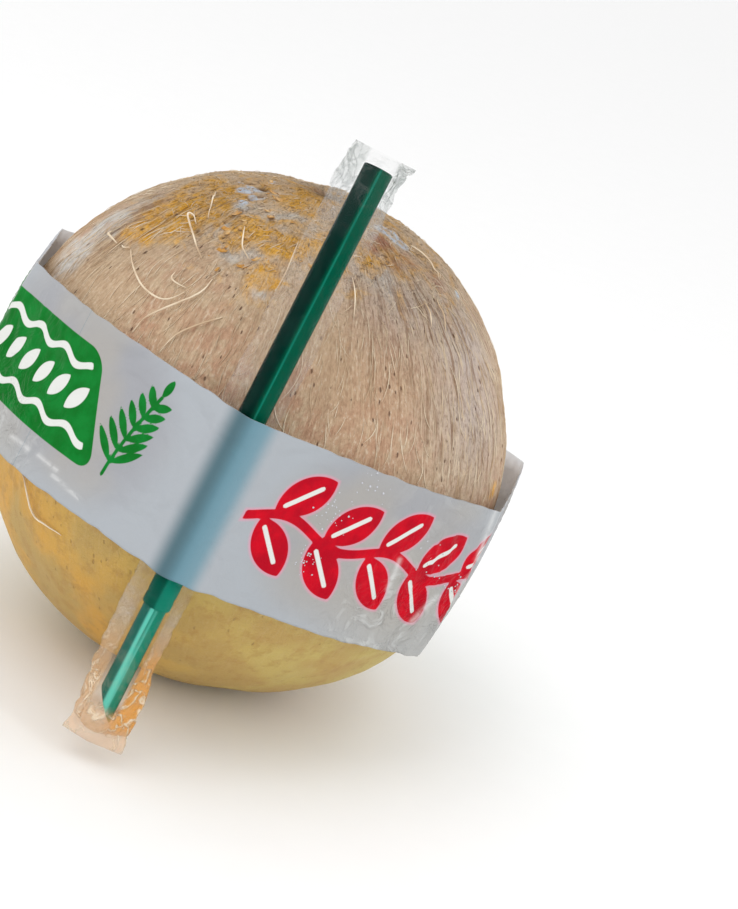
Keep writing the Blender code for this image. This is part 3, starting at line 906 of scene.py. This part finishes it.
def make_fibres(finish):
    """Fine fibres that the knife left, shorter and tangled by the stem end."""
    draw = random.Random(FIBRE_SEED)
    rows = []
    widths = []
    for _ in range(FIBRES):
        down = math.radians(FIBRE_FROM + FIBRE_SPAN * draw.random() ** 0.8)
        around = draw.uniform(0.0, math.tau)
        step = draw.uniform(*FIBRE_LENGTH) / NUT_RADIUS / FIBRE_STEPS
        near_stem = float(1.0 - ramp(down, 0.5 * STEM_END, 1.5 * STEM_END))
        step *= 1.0 - 0.75 * near_stem
        heading = draw.gauss(0.0, FIBRE_SWAY + FIBRE_TANGLE * near_stem)
        bend = draw.gauss(0.0, 0.5)
        for k in range(FIBRE_STEPS):
            way = heading + bend * k / FIBRE_STEPS
            rows.append((down, around))
            down += step * math.cos(way)
            around += step * math.sin(way) / max(0.15, math.sin(down))
        widths.append(draw.uniform(*FIBRE_THICK))
    directions = polar(*np.array(rows).T)
    rise = np.sin(math.pi * np.arange(FIBRE_STEPS) / (FIBRE_STEPS - 1))
    places = above_nut(directions, np.tile(FIBRE_LIFT * rise + FIBRE_BASE, FIBRES))
    points = []
    faces = []
    for i, width in enumerate(widths):
        line = places[i * FIBRE_STEPS:(i + 1) * FIBRE_STEPS]
        add_thread(points, faces, line, width * (0.35 + 0.65 * rise), 3)
    add_piece("husk_fibres", points, faces, finish)


# Torn flakes of husk by the stem end. A place is its pixel and its spread in millimetres
FLAKE_SEED = 5
FLAKES = 48
FLAKE_PLACES = ((248, 224, 7.0), (238, 238, 6.0), (300, 205, 9.0), (262, 190, 6.0), (280, 246, 8.0))
FLAKE_LONG = (1.0 * MM, 2.9 * MM)
FLAKE_THICK = 0.25 * MM
FLAKE_STEPS = 5


def make_flakes(finish):
    """Small flakes that stand up from the husk where it is torn."""
    draw = random.Random(FLAKE_SEED)
    points = []
    faces = []
    for i in range(FLAKES):
        x, y, spread = FLAKE_PLACES[i % len(FLAKE_PLACES)]
        wander = Vector((draw.gauss(0.0, 1.0), draw.gauss(0.0, 1.0), draw.gauss(0.0, 1.0)))
        out = (on_nut(x, y) + wander * (spread * MM / NUT_RADIUS * 0.6)).normalized()
        base = Vector(above_nut(np.array([out]), -FLAKE_THICK)[0])
        along = Matrix.Rotation(draw.gauss(0.0, 0.7), 3, out) @ square_to(out, -UP)
        add_flake(points, faces, base, along, out, draw)
    add_piece("torn_flakes", points, faces, finish)


def add_flake(points, faces, base, along, out, draw):
    """A curling flake: a row of narrow sections, lifted more towards its free end."""
    first = len(points)
    across = out.cross(along)
    long = draw.uniform(*FLAKE_LONG)
    wide = long * draw.uniform(0.3, 0.7)
    curl = draw.uniform(0.1, 0.5)
    for k in range(FLAKE_STEPS):
        share = k / (FLAKE_STEPS - 1)
        half = 0.5 * wide * (1.0 - 0.5 * share * draw.uniform(0.4, 1.0))
        spine = base + along * (long * share) + out * (curl * long * share ** 2)
        thick = FLAKE_THICK * (1.0 - 0.6 * share)
        for side, lift in ((-1.0, 0.0), (1.0, 0.0), (0.9, thick), (-0.9, thick)):
            points.append(spine + across * (half * side) + out * lift)
    faces += closed_faces(FLAKE_STEPS, 4, first)


# Long stray strands: pixels along each, its thickness and how high it stands off, in millimetres
STRANDS = (
    (((131, 249), (133, 262), (138, 276), (145, 289), (155, 298), (166, 302), (176, 298), (185, 291)),
     0.30, 1.6),
    (((212, 277), (205, 288), (196, 296), (182, 303), (166, 310), (152, 316), (143, 321), (132, 333)),
     0.32, 1.0),
    (((176, 272), (173, 280), (178, 285), (186, 287)), 0.24, 1.0),
    (((223, 317), (212, 321), (195, 327), (180, 334), (170, 341), (159, 353)), 0.30, 0.8),
    (((196, 222), (194, 216), (189, 217), (191, 227), (195, 240), (198, 250), (202, 258)), 0.32, 1.8),
    (((112, 232), (111, 237), (114, 240), (117, 243)), 0.34, 1.2),
    (((122, 245), (126, 249), (131, 248)), 0.26, 0.6),
    (((22, 469), (28, 484), (36, 512), (49, 524), (62, 535)), 0.34, 0.8),
    (((217, 188), (214, 198), (211, 208), (208, 217)), 0.22, 0.8),
    (((299, 240), (292, 258), (285, 275), (274, 294)), 0.20, 0.6),
    (((245, 226), (243, 240), (243, 249), (249, 258)), 0.26, 1.0),
    (((414, 242), (424, 252), (434, 264), (442, 278)), 0.26, 0.8),
    (((425, 300), (430, 313), (433, 326)), 0.22, 0.4),
    (((440, 296), (445, 314), (449, 330)), 0.22, 0.4),
    (((353, 276), (355, 295), (354, 318)), 0.20, 0.3),
)
STRAND_SIDES = 6
STRAND_SLIM = 0.78
STRAND_BASE = 0.15


def curve_between(before, start, end, after, share):
    """Smooth curve through points, between start and end."""
    return 0.5 * (2.0 * start + (end - before) * share
                  + (2.0 * before - 5.0 * start + 4.0 * end - after) * share ** 2
                  + (3.0 * start - before - 3.0 * end + after) * share ** 3)


def make_strands(finish):
    """Each strand follows its pixels in an arch over the nut."""
    points = []
    faces = []
    for pixels, thick, height in STRANDS:
        guides = [on_nut(*pixel) for pixel in pixels]
        line = []
        for i in range(len(guides) - 1):
            before, after = guides[max(i - 1, 0)], guides[min(i + 2, len(guides) - 1)]
            line += [curve_between(before, guides[i], guides[i + 1], after, k / 4.0) for k in range(4)]
        line.append(guides[-1])
        directions = np.array([place.normalized() for place in line])
        share = np.arange(len(line)) / (len(line) - 1)
        track = above_nut(directions, (STRAND_BASE + height * np.sin(math.pi * share)) * MM)
        taper = 0.3 + 0.7 * np.sin(math.pi * np.clip(share * 0.9 + 0.08, 0.0, 1.0))
        add_thread(points, faces, track, STRAND_SLIM * thick * MM * taper, STRAND_SIDES)
    add_piece("stray_strands", points, faces, finish)


# Band

def tent(angle, distance, nose, round_radius):
    """Film pulled over a rod that stands off a round body."""
    reach = math.acos((round_radius - nose) / distance)
    touch = math.atan2(nose * math.sin(reach), distance + nose * math.cos(reach))
    away = abs(angle)
    if away >= reach:
        return round_radius
    if away > touch:
        return round_radius / math.cos(reach - away)
    over = nose * nose - (distance * math.sin(away)) ** 2
    return distance * math.cos(away) + math.sqrt(max(0.0, over))


def turn_between(angle, other):
    return (angle - other + math.pi) % math.tau - math.pi


def straw_in_band(height):
    """Angle and distance of the straw's axis from the band's, at a height along the band."""
    from_nut = STRAW_FOOT - CENTRE
    along = (height - from_nut.dot(BAND_AXIS)) / STRAW_AXIS.dot(BAND_AXIS)
    there = from_nut + STRAW_AXIS * along
    front, side = there.dot(BAND_FRONT), there.dot(BAND_SIDE)
    return math.atan2(side, front), math.hypot(side, front)


def band_height(angle, share):
    """Height along the band's axis, from its lower edge at share 0 to its upper edge at 1."""
    rise = RISE + RISE_SKEW * math.sin(angle) + PUCKER * (1.0 - share) * max(0.0, math.sin(angle))
    rise *= ramp(abs(angle), RISE_FROM, RISE_TO)
    return BAND_BOTTOM + (BAND_TOP - BAND_BOTTOM) * share + rise


def band_radius(angle, height):
    """Distance of the film from the band's axis, and how far it stands off the nut."""
    straight = NUT_RADIUS + GAP
    hug = (HUG - HUG_SKEW * math.sin(angle)) * ramp(abs(angle), HUG_FROM, HUG_TO)
    body = math.sqrt(straight * straight - hug * height * height)
    where, distance = straw_in_band(height)
    radius = tent(turn_between(angle, where), distance, SLEEVE_ROUND + 2.0 * GAP, body)
    for place, fold in BAND_FOLDS:
        drawn_in = fold - (straight - body)
        radius = max(radius, tent(turn_between(angle, math.radians(place)), drawn_in, FOLD_NOSE, body))
    return radius, radius - math.sqrt(straight * straight - height * height)


def film_wrinkle(angle, height):
    """Wrinkles that stand out of the film, most of them by the folds on the right."""
    degrees = math.degrees(angle)
    right, left = (ramp(degrees, *rise) * (1.0 - ramp(degrees, *fall))
                   for rise, fall in (RIGHT_FOLDS, LEFT_FOLDS))
    slanted = Vector((14.0 * angle + 60.0 * height, 26.0 * height, 2.0))
    ridge = 1.0 - min(1.0, 3.5 * abs(noise.noise(slanted)))
    soft = 0.5 + 0.5 * noise.noise(Vector((5.0 * angle, 60.0 * height, 7.0)))
    return WRINKLE * (0.10 + 0.9 * right + 0.6 * left) * (0.6 * ridge + 0.4 * soft)


def film_point(angle, share, lift):
    """A point of the film, its height along the band, and how far it stands off the nut."""
    height = band_height(angle, share)
    across, other = math.cos(angle), math.sin(angle)
    edge = noise.noise(Vector((EDGE_WAVES * across, EDGE_WAVES * other, 5.0 * round(share))))
    height += EDGE_WAVE * edge * (2.0 * abs(share - 0.5)) ** 4
    ripple = noise.noise(Vector((RIPPLES * across, RIPPLES * other, RIPPLES_UP * height)))
    radius, off = band_radius(angle, height)
    wrinkle = film_wrinkle(angle, height) * (0.4 + 0.6 * min(1.0, 8.0 * share * (1.0 - share)))
    reach = radius + RIPPLE * (0.5 + 0.5 * ripple) + wrinkle + lift
    place = CENTRE + BAND_AXIS * height + (BAND_FRONT * across + BAND_SIDE * other) * reach
    return tuple(place), height, off


def film_rows(rows, lift):
    """Points of the film, their heights and how far they stand off the nut, in rows round it."""
    shares = np.linspace(0.0, 1.0, rows)
    made = [[film_point(angle, share, lift) for angle in FILM_ANGLES] for share in shares]
    return [np.array([[point[i] for point in row] for row in made]) for i in range(3)]


def segment(u, v, start, end, half):
    """Distance to a stroke with round ends, in millimetres, negative inside."""
    du, dv = end[0] - start[0], end[1] - start[1]
    share = np.clip(((u - start[0]) * du + (v - start[1]) * dv) / (du * du + dv * dv), 0.0, 1.0)
    return np.hypot(u - start[0] - share * du, v - start[1] - share * dv) - half


def leaf(u, v, root, heading, length, width):
    """Distance to a pointed leaf that starts at root."""
    along = (u - root[0]) * math.cos(heading) + (v - root[1]) * math.sin(heading) - 0.5 * length
    across = np.abs((v - root[1]) * math.cos(heading) - (u - root[0]) * math.sin(heading))
    arc = (length * length + width * width) / (4.0 * width)
    return np.hypot(along, across + arc - 0.5 * width) - arc


# Print, in millimetres along the film from the straw and up from the middle of the nut
PRINTS = 2
PRINT_END = 90.0
PANEL_EDGES = (((-36.0, 0.0), math.radians(24.0)), ((-70.0, 10.4), math.radians(90.0)),
               ((-104.0, 0.0), math.radians(204.0)), ((-70.0, -13.9), math.radians(270.0)))
PANEL_CORNER = 4.0
PANEL_BORDER = 2.6
PANEL_WAVES = (5.6, -9.0)
WAVE_LONG = 11.0
WAVE_HALF = 0.85
PANEL_LEAVES = 9
PANEL_LEAF_AT = (-97.0, -5.0)
PANEL_LEAF_PITCH = 6.6
PANEL_LEAF = (math.radians(58.0), 8.2, 3.6)  # heading, length and width
SPRIG_ROOT = (-27.0, -12.4)
SPRIG_STEPS = 8
SPRIG_RISE = 22.0
SPRIG_LEAN = 5.0
SPRIG_PAIRS = 6
SPRIG_HALF = 0.45
SPRIG_TIP_LEAF = (76.0, 5.0)  # heading in degrees, and length
SPRIG_LEAF = (88.0, 9.2)
SPRIG_LEAF_FALL = (3.0, 0.8)  # how much less each next pair has
SPRIG_LEAF_SPREAD = 48.0
SPRIG_LEAF_WIDTH = 2.0
VINE_FROM = 12.0
VINE_PITCH = 14.5
VINE_LEAVES = 5
VINE_TAIL = 3.0
VINE_PAIR = ((4.0, 0.8, 46.0), (6.0, -0.8, -48.0))  # before the middle, above the stem, heading
VINE_MIDDLE = -2.2
VINE_WAVE = 1.9
VINE_HALF = 1.15
VINE_LEAF = (15.5, 8.6)
VINE_RIB = (2.6, 11.8)  # where it starts and ends along the leaf
VINE_RIB_HALF = 0.55
FAR = 9.0  # a distance that is outside every printed shape


def panel(u, v):
    """Distance to a panel with round corners. An edge is a point of it and its way out."""
    total = np.zeros_like(u)
    for (x, y), outward in PANEL_EDGES:
        beyond = (u - x) * math.cos(outward) + (v - y) * math.sin(outward) + PANEL_CORNER
        total += np.maximum(0.0, beyond) ** 2
    return np.sqrt(total) - PANEL_CORNER


def green_print(u, v):
    """A panel with round corners, and a sprig beside it."""
    shape = panel(u, v)
    x, y = SPRIG_ROOT
    shares = [k / (SPRIG_STEPS - 1) for k in range(SPRIG_STEPS)]
    stem = [(x + SPRIG_LEAN * share ** 1.5, y + SPRIG_RISE * share) for share in shares]
    for start, end in zip(stem, stem[1:]):
        shape = np.minimum(shape, segment(u, v, start, end, SPRIG_HALF))
    leaves = [(stem[-1], *SPRIG_TIP_LEAF)]
    for k in range(SPRIG_PAIRS):
        heading, length = (full - fall * k for full, fall in zip(SPRIG_LEAF, SPRIG_LEAF_FALL))
        leaves += [(stem[k + 1], heading + side * SPRIG_LEAF_SPREAD, length) for side in (-1.0, 1.0)]
    for root, heading, length in leaves:
        shape = np.minimum(shape, leaf(u, v, root, math.radians(heading), length, SPRIG_LEAF_WIDTH))
    return shape


def vine_stem(u):
    return VINE_MIDDLE + VINE_WAVE * np.sin(math.pi * (u - VINE_FROM) / VINE_PITCH)


def vine_leaves():
    """Roots and headings of the vine's leaves, which stand above and below its stem in turn."""
    placed = []
    for k in range(VINE_LEAVES):
        middle = VINE_FROM + VINE_PITCH * (k + 0.5)
        for before, above, heading in VINE_PAIR:
            at = middle - before
            placed.append(((at, float(vine_stem(at)) + above), math.radians(heading)))
    return placed


def red_print(u, v):
    """A vine with bold leaves."""
    end = VINE_FROM + VINE_PITCH * VINE_LEAVES
    shape = np.maximum(np.abs(v - vine_stem(u)) - VINE_HALF, np.maximum(VINE_FROM - VINE_TAIL - u, u - end))
    for root, heading in vine_leaves():
        shape = np.minimum(shape, leaf(u, v, root, heading, *VINE_LEAF))
    return shape


def white_print(u, v):
    """What is left bare inside the coloured shapes: waves and leaves in the panel, ribs in the vine."""
    shape = np.full_like(u, FAR)
    for middle in PANEL_WAVES:
        shape = np.minimum(shape, np.abs(v - middle - np.sin(u * math.tau / WAVE_LONG)) - WAVE_HALF)
    for k in range(PANEL_LEAVES):
        root = (PANEL_LEAF_AT[0] + PANEL_LEAF_PITCH * k, PANEL_LEAF_AT[1])
        shape = np.minimum(shape, leaf(u, v, root, *PANEL_LEAF))
    shape = np.maximum(shape, panel(u, v) + PANEL_BORDER)
    for (x, y), heading in vine_leaves():
        along, up = math.cos(heading), math.sin(heading)
        start, end = ((x + reach * along, y + reach * up) for reach in VINE_RIB)
        shape = np.minimum(shape, segment(u, v, start, end, VINE_RIB_HALF))
    return shape


# Painted glare streaks on the film, broken along its creases: start and end pixels, and half the width in
# pixels
GLARE_STREAKS = (((40, 455), (58, 470), 1.9), ((54, 475), (80, 498), 1.8), ((14, 436), (30, 449), 2.2),
                ((498, 508), (478, 560), 2.2), ((436, 598), (412, 622), 2.4), ((400, 560), (388, 590), 2.2))


def pale_creases(places):
    """How much painted glare each point of the film gets, from 0 to 1."""
    across, downward, depth = to_pixels(places)
    total = np.zeros(across.shape)
    for start, end, half in GLARE_STREAKS:
        total = np.maximum(total, np.exp(-(segment(across, downward, start, end, 0.0) / half) ** 2))
    return total * (depth < EYE_DISTANCE)


def print_places(outer, heights):
    """Where each point of the film lies in the print: along it from the straw, and up."""
    middle = outer[BAND_ROWS // 2]
    steps = np.linalg.norm(np.roll(middle, -1, axis=0) - middle, axis=1)
    run = np.concatenate([[0.0], np.cumsum(steps)[:-1]]) / MM
    start = np.interp(straw_in_band(0.5 * (BAND_TOP + BAND_BOTTOM))[0], FILM_ANGLES, run)
    repeat = float(steps.sum()) / MM / PRINTS
    along = (run - start) % repeat
    along = np.where(along > PRINT_END, along - repeat, along)
    return np.broadcast_to(along, heights.shape), heights / MM


# The straw, with its painted shade and light, shows through the film only in front. Elsewhere its side
# distance is set well off it
STRAW_SHOWS = 45.0
OFF_STRAW = 30.0


def make_band(finish):
    """The film: its outer face, its inner face and both rims. Returns the outer face's points."""
    outer, heights, offs = film_rows(BAND_ROWS, FILM_OUTSIDE)
    inner, _, inner_offs = film_rows(BAND_INNER_ROWS, FILM_INSIDE)
    points = np.concatenate([outer.reshape(-1, 3), inner.reshape(-1, 3)])
    count = BAND_ROWS * BAND_ROUND
    faces = grid_faces(BAND_ROWS, BAND_ROUND) + turned(grid_faces(BAND_INNER_ROWS, BAND_ROUND, count))
    faces += turned(ring_faces(0, count, BAND_ROUND))
    faces += ring_faces(count - BAND_ROUND, len(points) - BAND_ROUND, BAND_ROUND)
    band = add_piece("printed_band", points, faces, finish, "band")

    u, v = print_places(outer, heights)
    degrees = np.degrees(FILM_ANGLES)[None, :]
    side = (outer - np.array(STRAW_FOOT)) @ np.array(STRAW_SIDE) / MM
    side = np.where(np.abs(degrees) < STRAW_SHOWS, side, OFF_STRAW)
    low = 1.0 - ramp(v, -14.0, 4.0)
    right = ramp(degrees, 20.0, 46.0) * (0.25 + 0.75 * low)
    left = (1.0 - ramp(degrees, -52.0, -34.0)) * (0.1 + 0.7 * low)

    def with_inside(values, inside):
        outside = np.broadcast_to(values, heights.shape).ravel()
        return np.concatenate([outside, np.full(len(points) - count, inside)])

    mark_points(band,
                print_green=with_inside(green_print(u, v), FAR),
                print_red=with_inside(red_print(u, v), FAR),
                print_white=with_inside(white_print(u, v), FAR),
                straw_side=with_inside(side, OFF_STRAW),
                stand_off=ramp(np.concatenate([offs.ravel(), inner_offs.ravel()]) / MM, 1.0, 5.0),
                inner_face=with_inside(0.0, 1.0),
                pale_crease=with_inside(pale_creases(outer), 0.0),
                wrinkled=with_inside(np.maximum(right, left), 0.0))
    return outer


# Water beads: pixel, spread in millimetres, how many
BEADS = ((332, 513, 4.5, 34), (305, 560, 3.0, 30), (372, 492, 6.0, 16), (455, 590, 4.0, 22),
         (430, 560, 5.0, 12))
BEAD_SEED = 23
BEAD_SIZES = (0.12 * MM, 0.34 * MM)
BEAD_RINGS = ((-0.15, 0.9), (0.1, 1.0), (0.35, 0.85), (0.55, 0.5))  # heights and widths, by its size
BEAD_TIP = 0.62
BEAD_SIDES = 8


def make_beads(film, finish):
    """Small drops that stand on the film."""
    draw = random.Random(BEAD_SEED)
    flat = film.reshape(-1, 3)
    across, downward, depth = to_pixels(flat)
    points = []
    faces = []
    pixels_per_mm = FOCAL_PIXELS * MM / EYE_DISTANCE
    for x, y, spread, number in BEADS:
        for _ in range(number):
            px = x + draw.gauss(0.0, 0.5 * spread) * pixels_per_mm
            py = y + draw.gauss(0.0, 0.5 * spread) * pixels_per_mm
            size = draw.uniform(*BEAD_SIZES) * draw.uniform(0.6, 1.0)
            apart = np.where(depth < EYE_DISTANCE, np.hypot(across - px, downward - py), np.inf)
            add_bead(points, faces, Vector(flat[int(apart.argmin())]), size)
    add_piece("water_beads", points, faces, finish)


def add_bead(points, faces, place, size):
    """A low drop on the film."""
    first = len(points)
    outward = (place - CENTRE).normalized()
    across = outward.orthogonal().normalized()
    ring = spokes(across, outward.cross(across), BEAD_SIDES)
    for rise, radius in BEAD_RINGS:
        points += [place + outward * (rise * size) + spoke * (radius * size) for spoke in ring]
    tip = len(points)
    points.append(place + outward * (BEAD_TIP * size))
    faces += grid_faces(len(BEAD_RINGS), BEAD_SIDES, first) + fan(tip, tip - BEAD_SIDES, BEAD_SIDES)
    faces += turned(disc(first, BEAD_SIDES))


# Straw

def straw_point(side, out, along):
    return STRAW_FOOT + STRAW_SIDE * side + STRAW_OUT * out + STRAW_AXIS * along


def make_tube(name, node, radius, stations, finish):
    """Open tube with softened rims. A station is its place, its slant and how far it is drawn in."""
    (low, low_slant, _), (high, high_slant, _) = stations[0], stations[-1]
    inner = radius - STRAW_WALL
    section = [(radius - RIM, low, low_slant), (radius, low + RIM, low_slant)]
    section += [(radius - drawn, along, slant) for along, slant, drawn in stations[1:-1]]
    section += [(radius, high - RIM, high_slant), (radius - RIM, high, high_slant),
                (inner + RIM, high, high_slant), (inner, high - RIM, high_slant)]
    section += [(inner - drawn, along, slant) for along, slant, drawn in stations[1:-1]][::-1]
    section += [(inner, low + RIM, low_slant), (inner + RIM, low, low_slant)]
    points = []
    for ring_radius, along, slant in section:
        for i in range(TUBE_SIDES):
            turn = math.tau * i / TUBE_SIDES
            side = ring_radius * math.cos(turn)
            points.append(straw_point(side, ring_radius * math.sin(turn), along - slant * side))
    faces = grid_faces(len(section), TUBE_SIDES) + ring_faces(len(points) - TUBE_SIDES, 0, TUBE_SIDES)
    add_piece(name, points, faces, finish, node)


def make_upper_tube(finish):
    """Outer tube, crimped near its lower end."""
    stations = [(UPPER_BOTTOM, 0.0, 0.0), (UPPER_BOTTOM + RIM_SQUARE, 0.0, 0.0)]
    for k in range(-6, 7):
        drawn = CRIMP_DEPTH * 0.5 * (1.0 + math.cos(math.pi * k / 6.0))
        stations.append((UPPER_BOTTOM + CRIMP_AT + CRIMP_HALF * k / 6.0, 0.0, drawn))
    length = STRAW_TOP - UPPER_BOTTOM
    stations += [(UPPER_BOTTOM + length * k / 24.0, 0.0, 0.0) for k in range(1, 25)]
    make_tube("upper_tube", "straw_upper", UPPER_RADIUS, stations, finish)


def make_lower_tube(finish):
    """Inner tube, cut to a slanted point."""
    cut = 2.0 * LOWER_SLANT * LOWER_RADIUS
    rest = LOWER_TOP - LOWER_BOTTOM - cut
    stations = [(LOWER_BOTTOM + cut * k / 6.0, LOWER_SLANT * (1.0 - k / 6.0), 0.0) for k in range(7)]
    stations += [(LOWER_BOTTOM + cut + rest * k / 16.0, 0.0, 0.0) for k in range(1, 17)]
    make_tube("lower_tube", "straw_lower", LOWER_RADIUS, stations, finish)


# Sleeve

def sleeve_outline(rise, left, right):
    """Points round the sleeve's section: seam, over the straw, seam and the flat back."""
    outline = []
    for seam in (-left, right):
        touch = 2.0 * math.atan2(-rise, seam) + 0.5 * math.pi
        if touch < 0.0:
            touch += math.tau
        half = [(seam, -rise)]
        for k in range(TENT_STEPS + 1):
            turn = touch + (0.5 * math.pi - touch) * k / TENT_STEPS
            half.append((rise * math.cos(turn), rise * math.sin(turn)))
        outline += half if seam < 0.0 else half[::-1][1:]
    corners = np.array(outline + [outline[0]])
    run = np.concatenate([[0.0], np.cumsum(np.hypot(*np.diff(corners, axis=0).T))])
    wanted = run[-1] * np.arange(SLEEVE_AROUND) / SLEEVE_AROUND
    return np.stack([np.interp(wanted, run, corners[:, 0]), np.interp(wanted, run, corners[:, 1])], 1)


def sleeve_section(along, inside):
    """The sleeve's section at a place along the straw, inside its outer face."""
    past_top = float(ramp(along, SLEEVE_ROUND_TO, SLEEVE_TOP))
    past_foot = float(ramp(-along, -SLEEVE_ROUND_FROM, -SLEEVE_BOTTOM))
    near_foot = float(ramp(-along, -UPPER_BOTTOM, -SLEEVE_BOTTOM))
    rise = SLEEVE_ROUND * (1.0 - TOP_DROP * past_top) * (1.0 - FOOT_DROP * past_foot)
    wave = SEAM_WAVE * noise.noise(Vector((0.0, SEAM_SHIFT, SEAM_WAVES * along)))
    left = SLEEVE_LEFT + (SLEEVE_FLAT - SLEEVE_LEFT) * past_top + wave
    left += (SLEEVE_FOOT_LEFT - SLEEVE_LEFT) * near_foot
    right = SLEEVE_RIGHT + (SLEEVE_FLAT - SLEEVE_RIGHT) * past_top - wave
    right += (SLEEVE_FOOT_RIGHT - SLEEVE_RIGHT) * near_foot
    return sleeve_outline(rise, left, right) * ((rise - inside) / rise)


def sleeve_rings(first, count, inside):
    """Rings of the sleeve, drawn in by crinkles that grow towards both of its ends."""
    placed = []
    for along in np.linspace(first, SLEEVE_TOP, count):
        ends = float(ramp(along, *CRINKLED_TOP) + ramp(-along, *CRINKLED_FOOT))
        for side, out in sleeve_section(along, inside):
            from_axis = math.hypot(side, out)
            where = Vector((side * CRINKLES[0], out * CRINKLES[0], along * CRINKLES[1]))
            crease = 1.0 - min(1.0, 3.2 * abs(noise.noise(where)))
            drawn = CRINKLE * crease * (0.25 + 0.75 * ends)
            free = max(0.0, from_axis - (UPPER_RADIUS + 0.12 * MM) - inside)
            keep = 1.0 - min(drawn, 0.8 * free) / from_axis
            placed.append(straw_point(side * keep, out * keep, along))
    return placed


def make_sleeve(finish):
    """Thin pouch, sealed at the foot and open at the top."""
    inner_rings = SLEEVE_ALONG - 8
    points = sleeve_rings(SLEEVE_BOTTOM, SLEEVE_ALONG, 0.0)
    count = len(points)
    points += sleeve_rings(SLEEVE_SEAL, inner_rings, SLEEVE_SHELL)
    faces = grid_faces(SLEEVE_ALONG, SLEEVE_AROUND) + turned(grid_faces(inner_rings, SLEEVE_AROUND, count))
    faces += ring_faces(count - SLEEVE_AROUND, len(points) - SLEEVE_AROUND, SLEEVE_AROUND)
    faces += turned(disc(0, SLEEVE_AROUND)) + disc(count, SLEEVE_AROUND)
    sleeve = add_piece("clear_sleeve", points, faces, finish, "straw_sleeve")
    from_foot = np.array([tuple(point) for point in points]) - np.array(STRAW_FOOT)
    along = from_foot @ np.array(STRAW_AXIS)
    beside = ramp(np.abs(from_foot @ np.array(STRAW_SIDE)), *BESIDE_STRAW)
    mark_points(sleeve, beside=np.maximum(beside, ramp(-along, *PAST_STRAW)),
                crumple=ramp(along, *CRUMPLED_TOP) + ramp(-along, *CRUMPLED_FOOT))


# Stage

FLOOR_HALF = 12.0

# Lights: place right, up and back of the nut as the camera sees it, width, height, power, colour
LIGHTS = {
    "window": ((-0.05, 0.85, 0.6), 0.6, 0.6, 2.0, (1.0, 0.99, 0.97)),
    "left_fill": ((-0.9, 0.3, 0.5), 0.7, 0.7, 0.8, (0.97, 0.98, 1.0)),
    "strip": ((0.45, 0.12, 0.42), 0.05, 0.7, 0.45, (0.95, 1.0, 1.0)),
}
SKY_STRENGTH = 0.98


def make_floor(finish):
    corners = [(-1, -1, 0), (1, -1, 0), (1, 1, 0), (-1, 1, 0)]
    add_mesh("floor", np.array(corners) * FLOOR_HALF, [(0, 1, 2, 3)], finish)


def make_camera():
    """Looks at the nut, turned so that the nut lands left of and above the frame's middle."""
    data = bpy.data.cameras.new("camera")
    data.sensor_fit = "AUTO"
    data.sensor_width = SENSOR
    data.lens = FOCAL_PIXELS * SENSOR / PHOTO_HEIGHT
    data.clip_start = 0.01
    camera = add_object("camera", data)
    axes = Matrix((EYE_RIGHT, EYE_UP, EYE_BACK)).transposed().to_4x4()
    turn = Matrix.Rotation(-math.atan((0.5 * PHOTO_WIDTH - NUT_PIXEL[0]) / FOCAL_PIXELS), 4, "Y")
    nod = Matrix.Rotation(-math.atan((0.5 * PHOTO_HEIGHT - NUT_PIXEL[1]) / FOCAL_PIXELS), 4, "X")
    camera.matrix_world = Matrix.Translation(EYE) @ axes @ turn @ nod
    bpy.context.scene.camera = camera


def light_scene():
    """Soft lights that face the nut, in a white studio."""
    for name, (place, width, height, power, colour) in LIGHTS.items():
        data = bpy.data.lights.new(name, "AREA")
        data.shape = "RECTANGLE"
        data.size = width
        data.size_y = height
        data.energy = power
        data.color = colour
        light = add_object(name, data)
        offset = EYE_RIGHT * place[0] + EYE_UP * place[1] + EYE_BACK * place[2]
        light.location = CENTRE + offset
        light.rotation_euler = offset.to_track_quat("Z", "Y").to_euler()
    world = bpy.data.worlds.new("studio")
    world.use_nodes = True
    sky = world.node_tree.nodes["Background"]
    sky.inputs["Color"].default_value = (1.0, 1.0, 1.0, 1.0)
    sky.inputs["Strength"].default_value = SKY_STRENGTH
    bpy.context.scene.world = world
    bpy.context.scene.view_settings.view_transform = "Standard"


make_camera()
make_nut(husk_finish())
fibre = strand_finish()
make_fibres(fibre)
make_flakes(flake_finish())
make_strands(fibre)
film = make_band(film_finish())
make_beads(film, bead_finish())
make_upper_tube(straw_finish("upper_green", UPPER_GREENS, *UPPER_SHEEN))
make_lower_tube(straw_finish("lower_green", LOWER_GREENS, *LOWER_SHEEN))
make_sleeve(clear_film_finish())
make_floor(floor_finish())
light_scene()
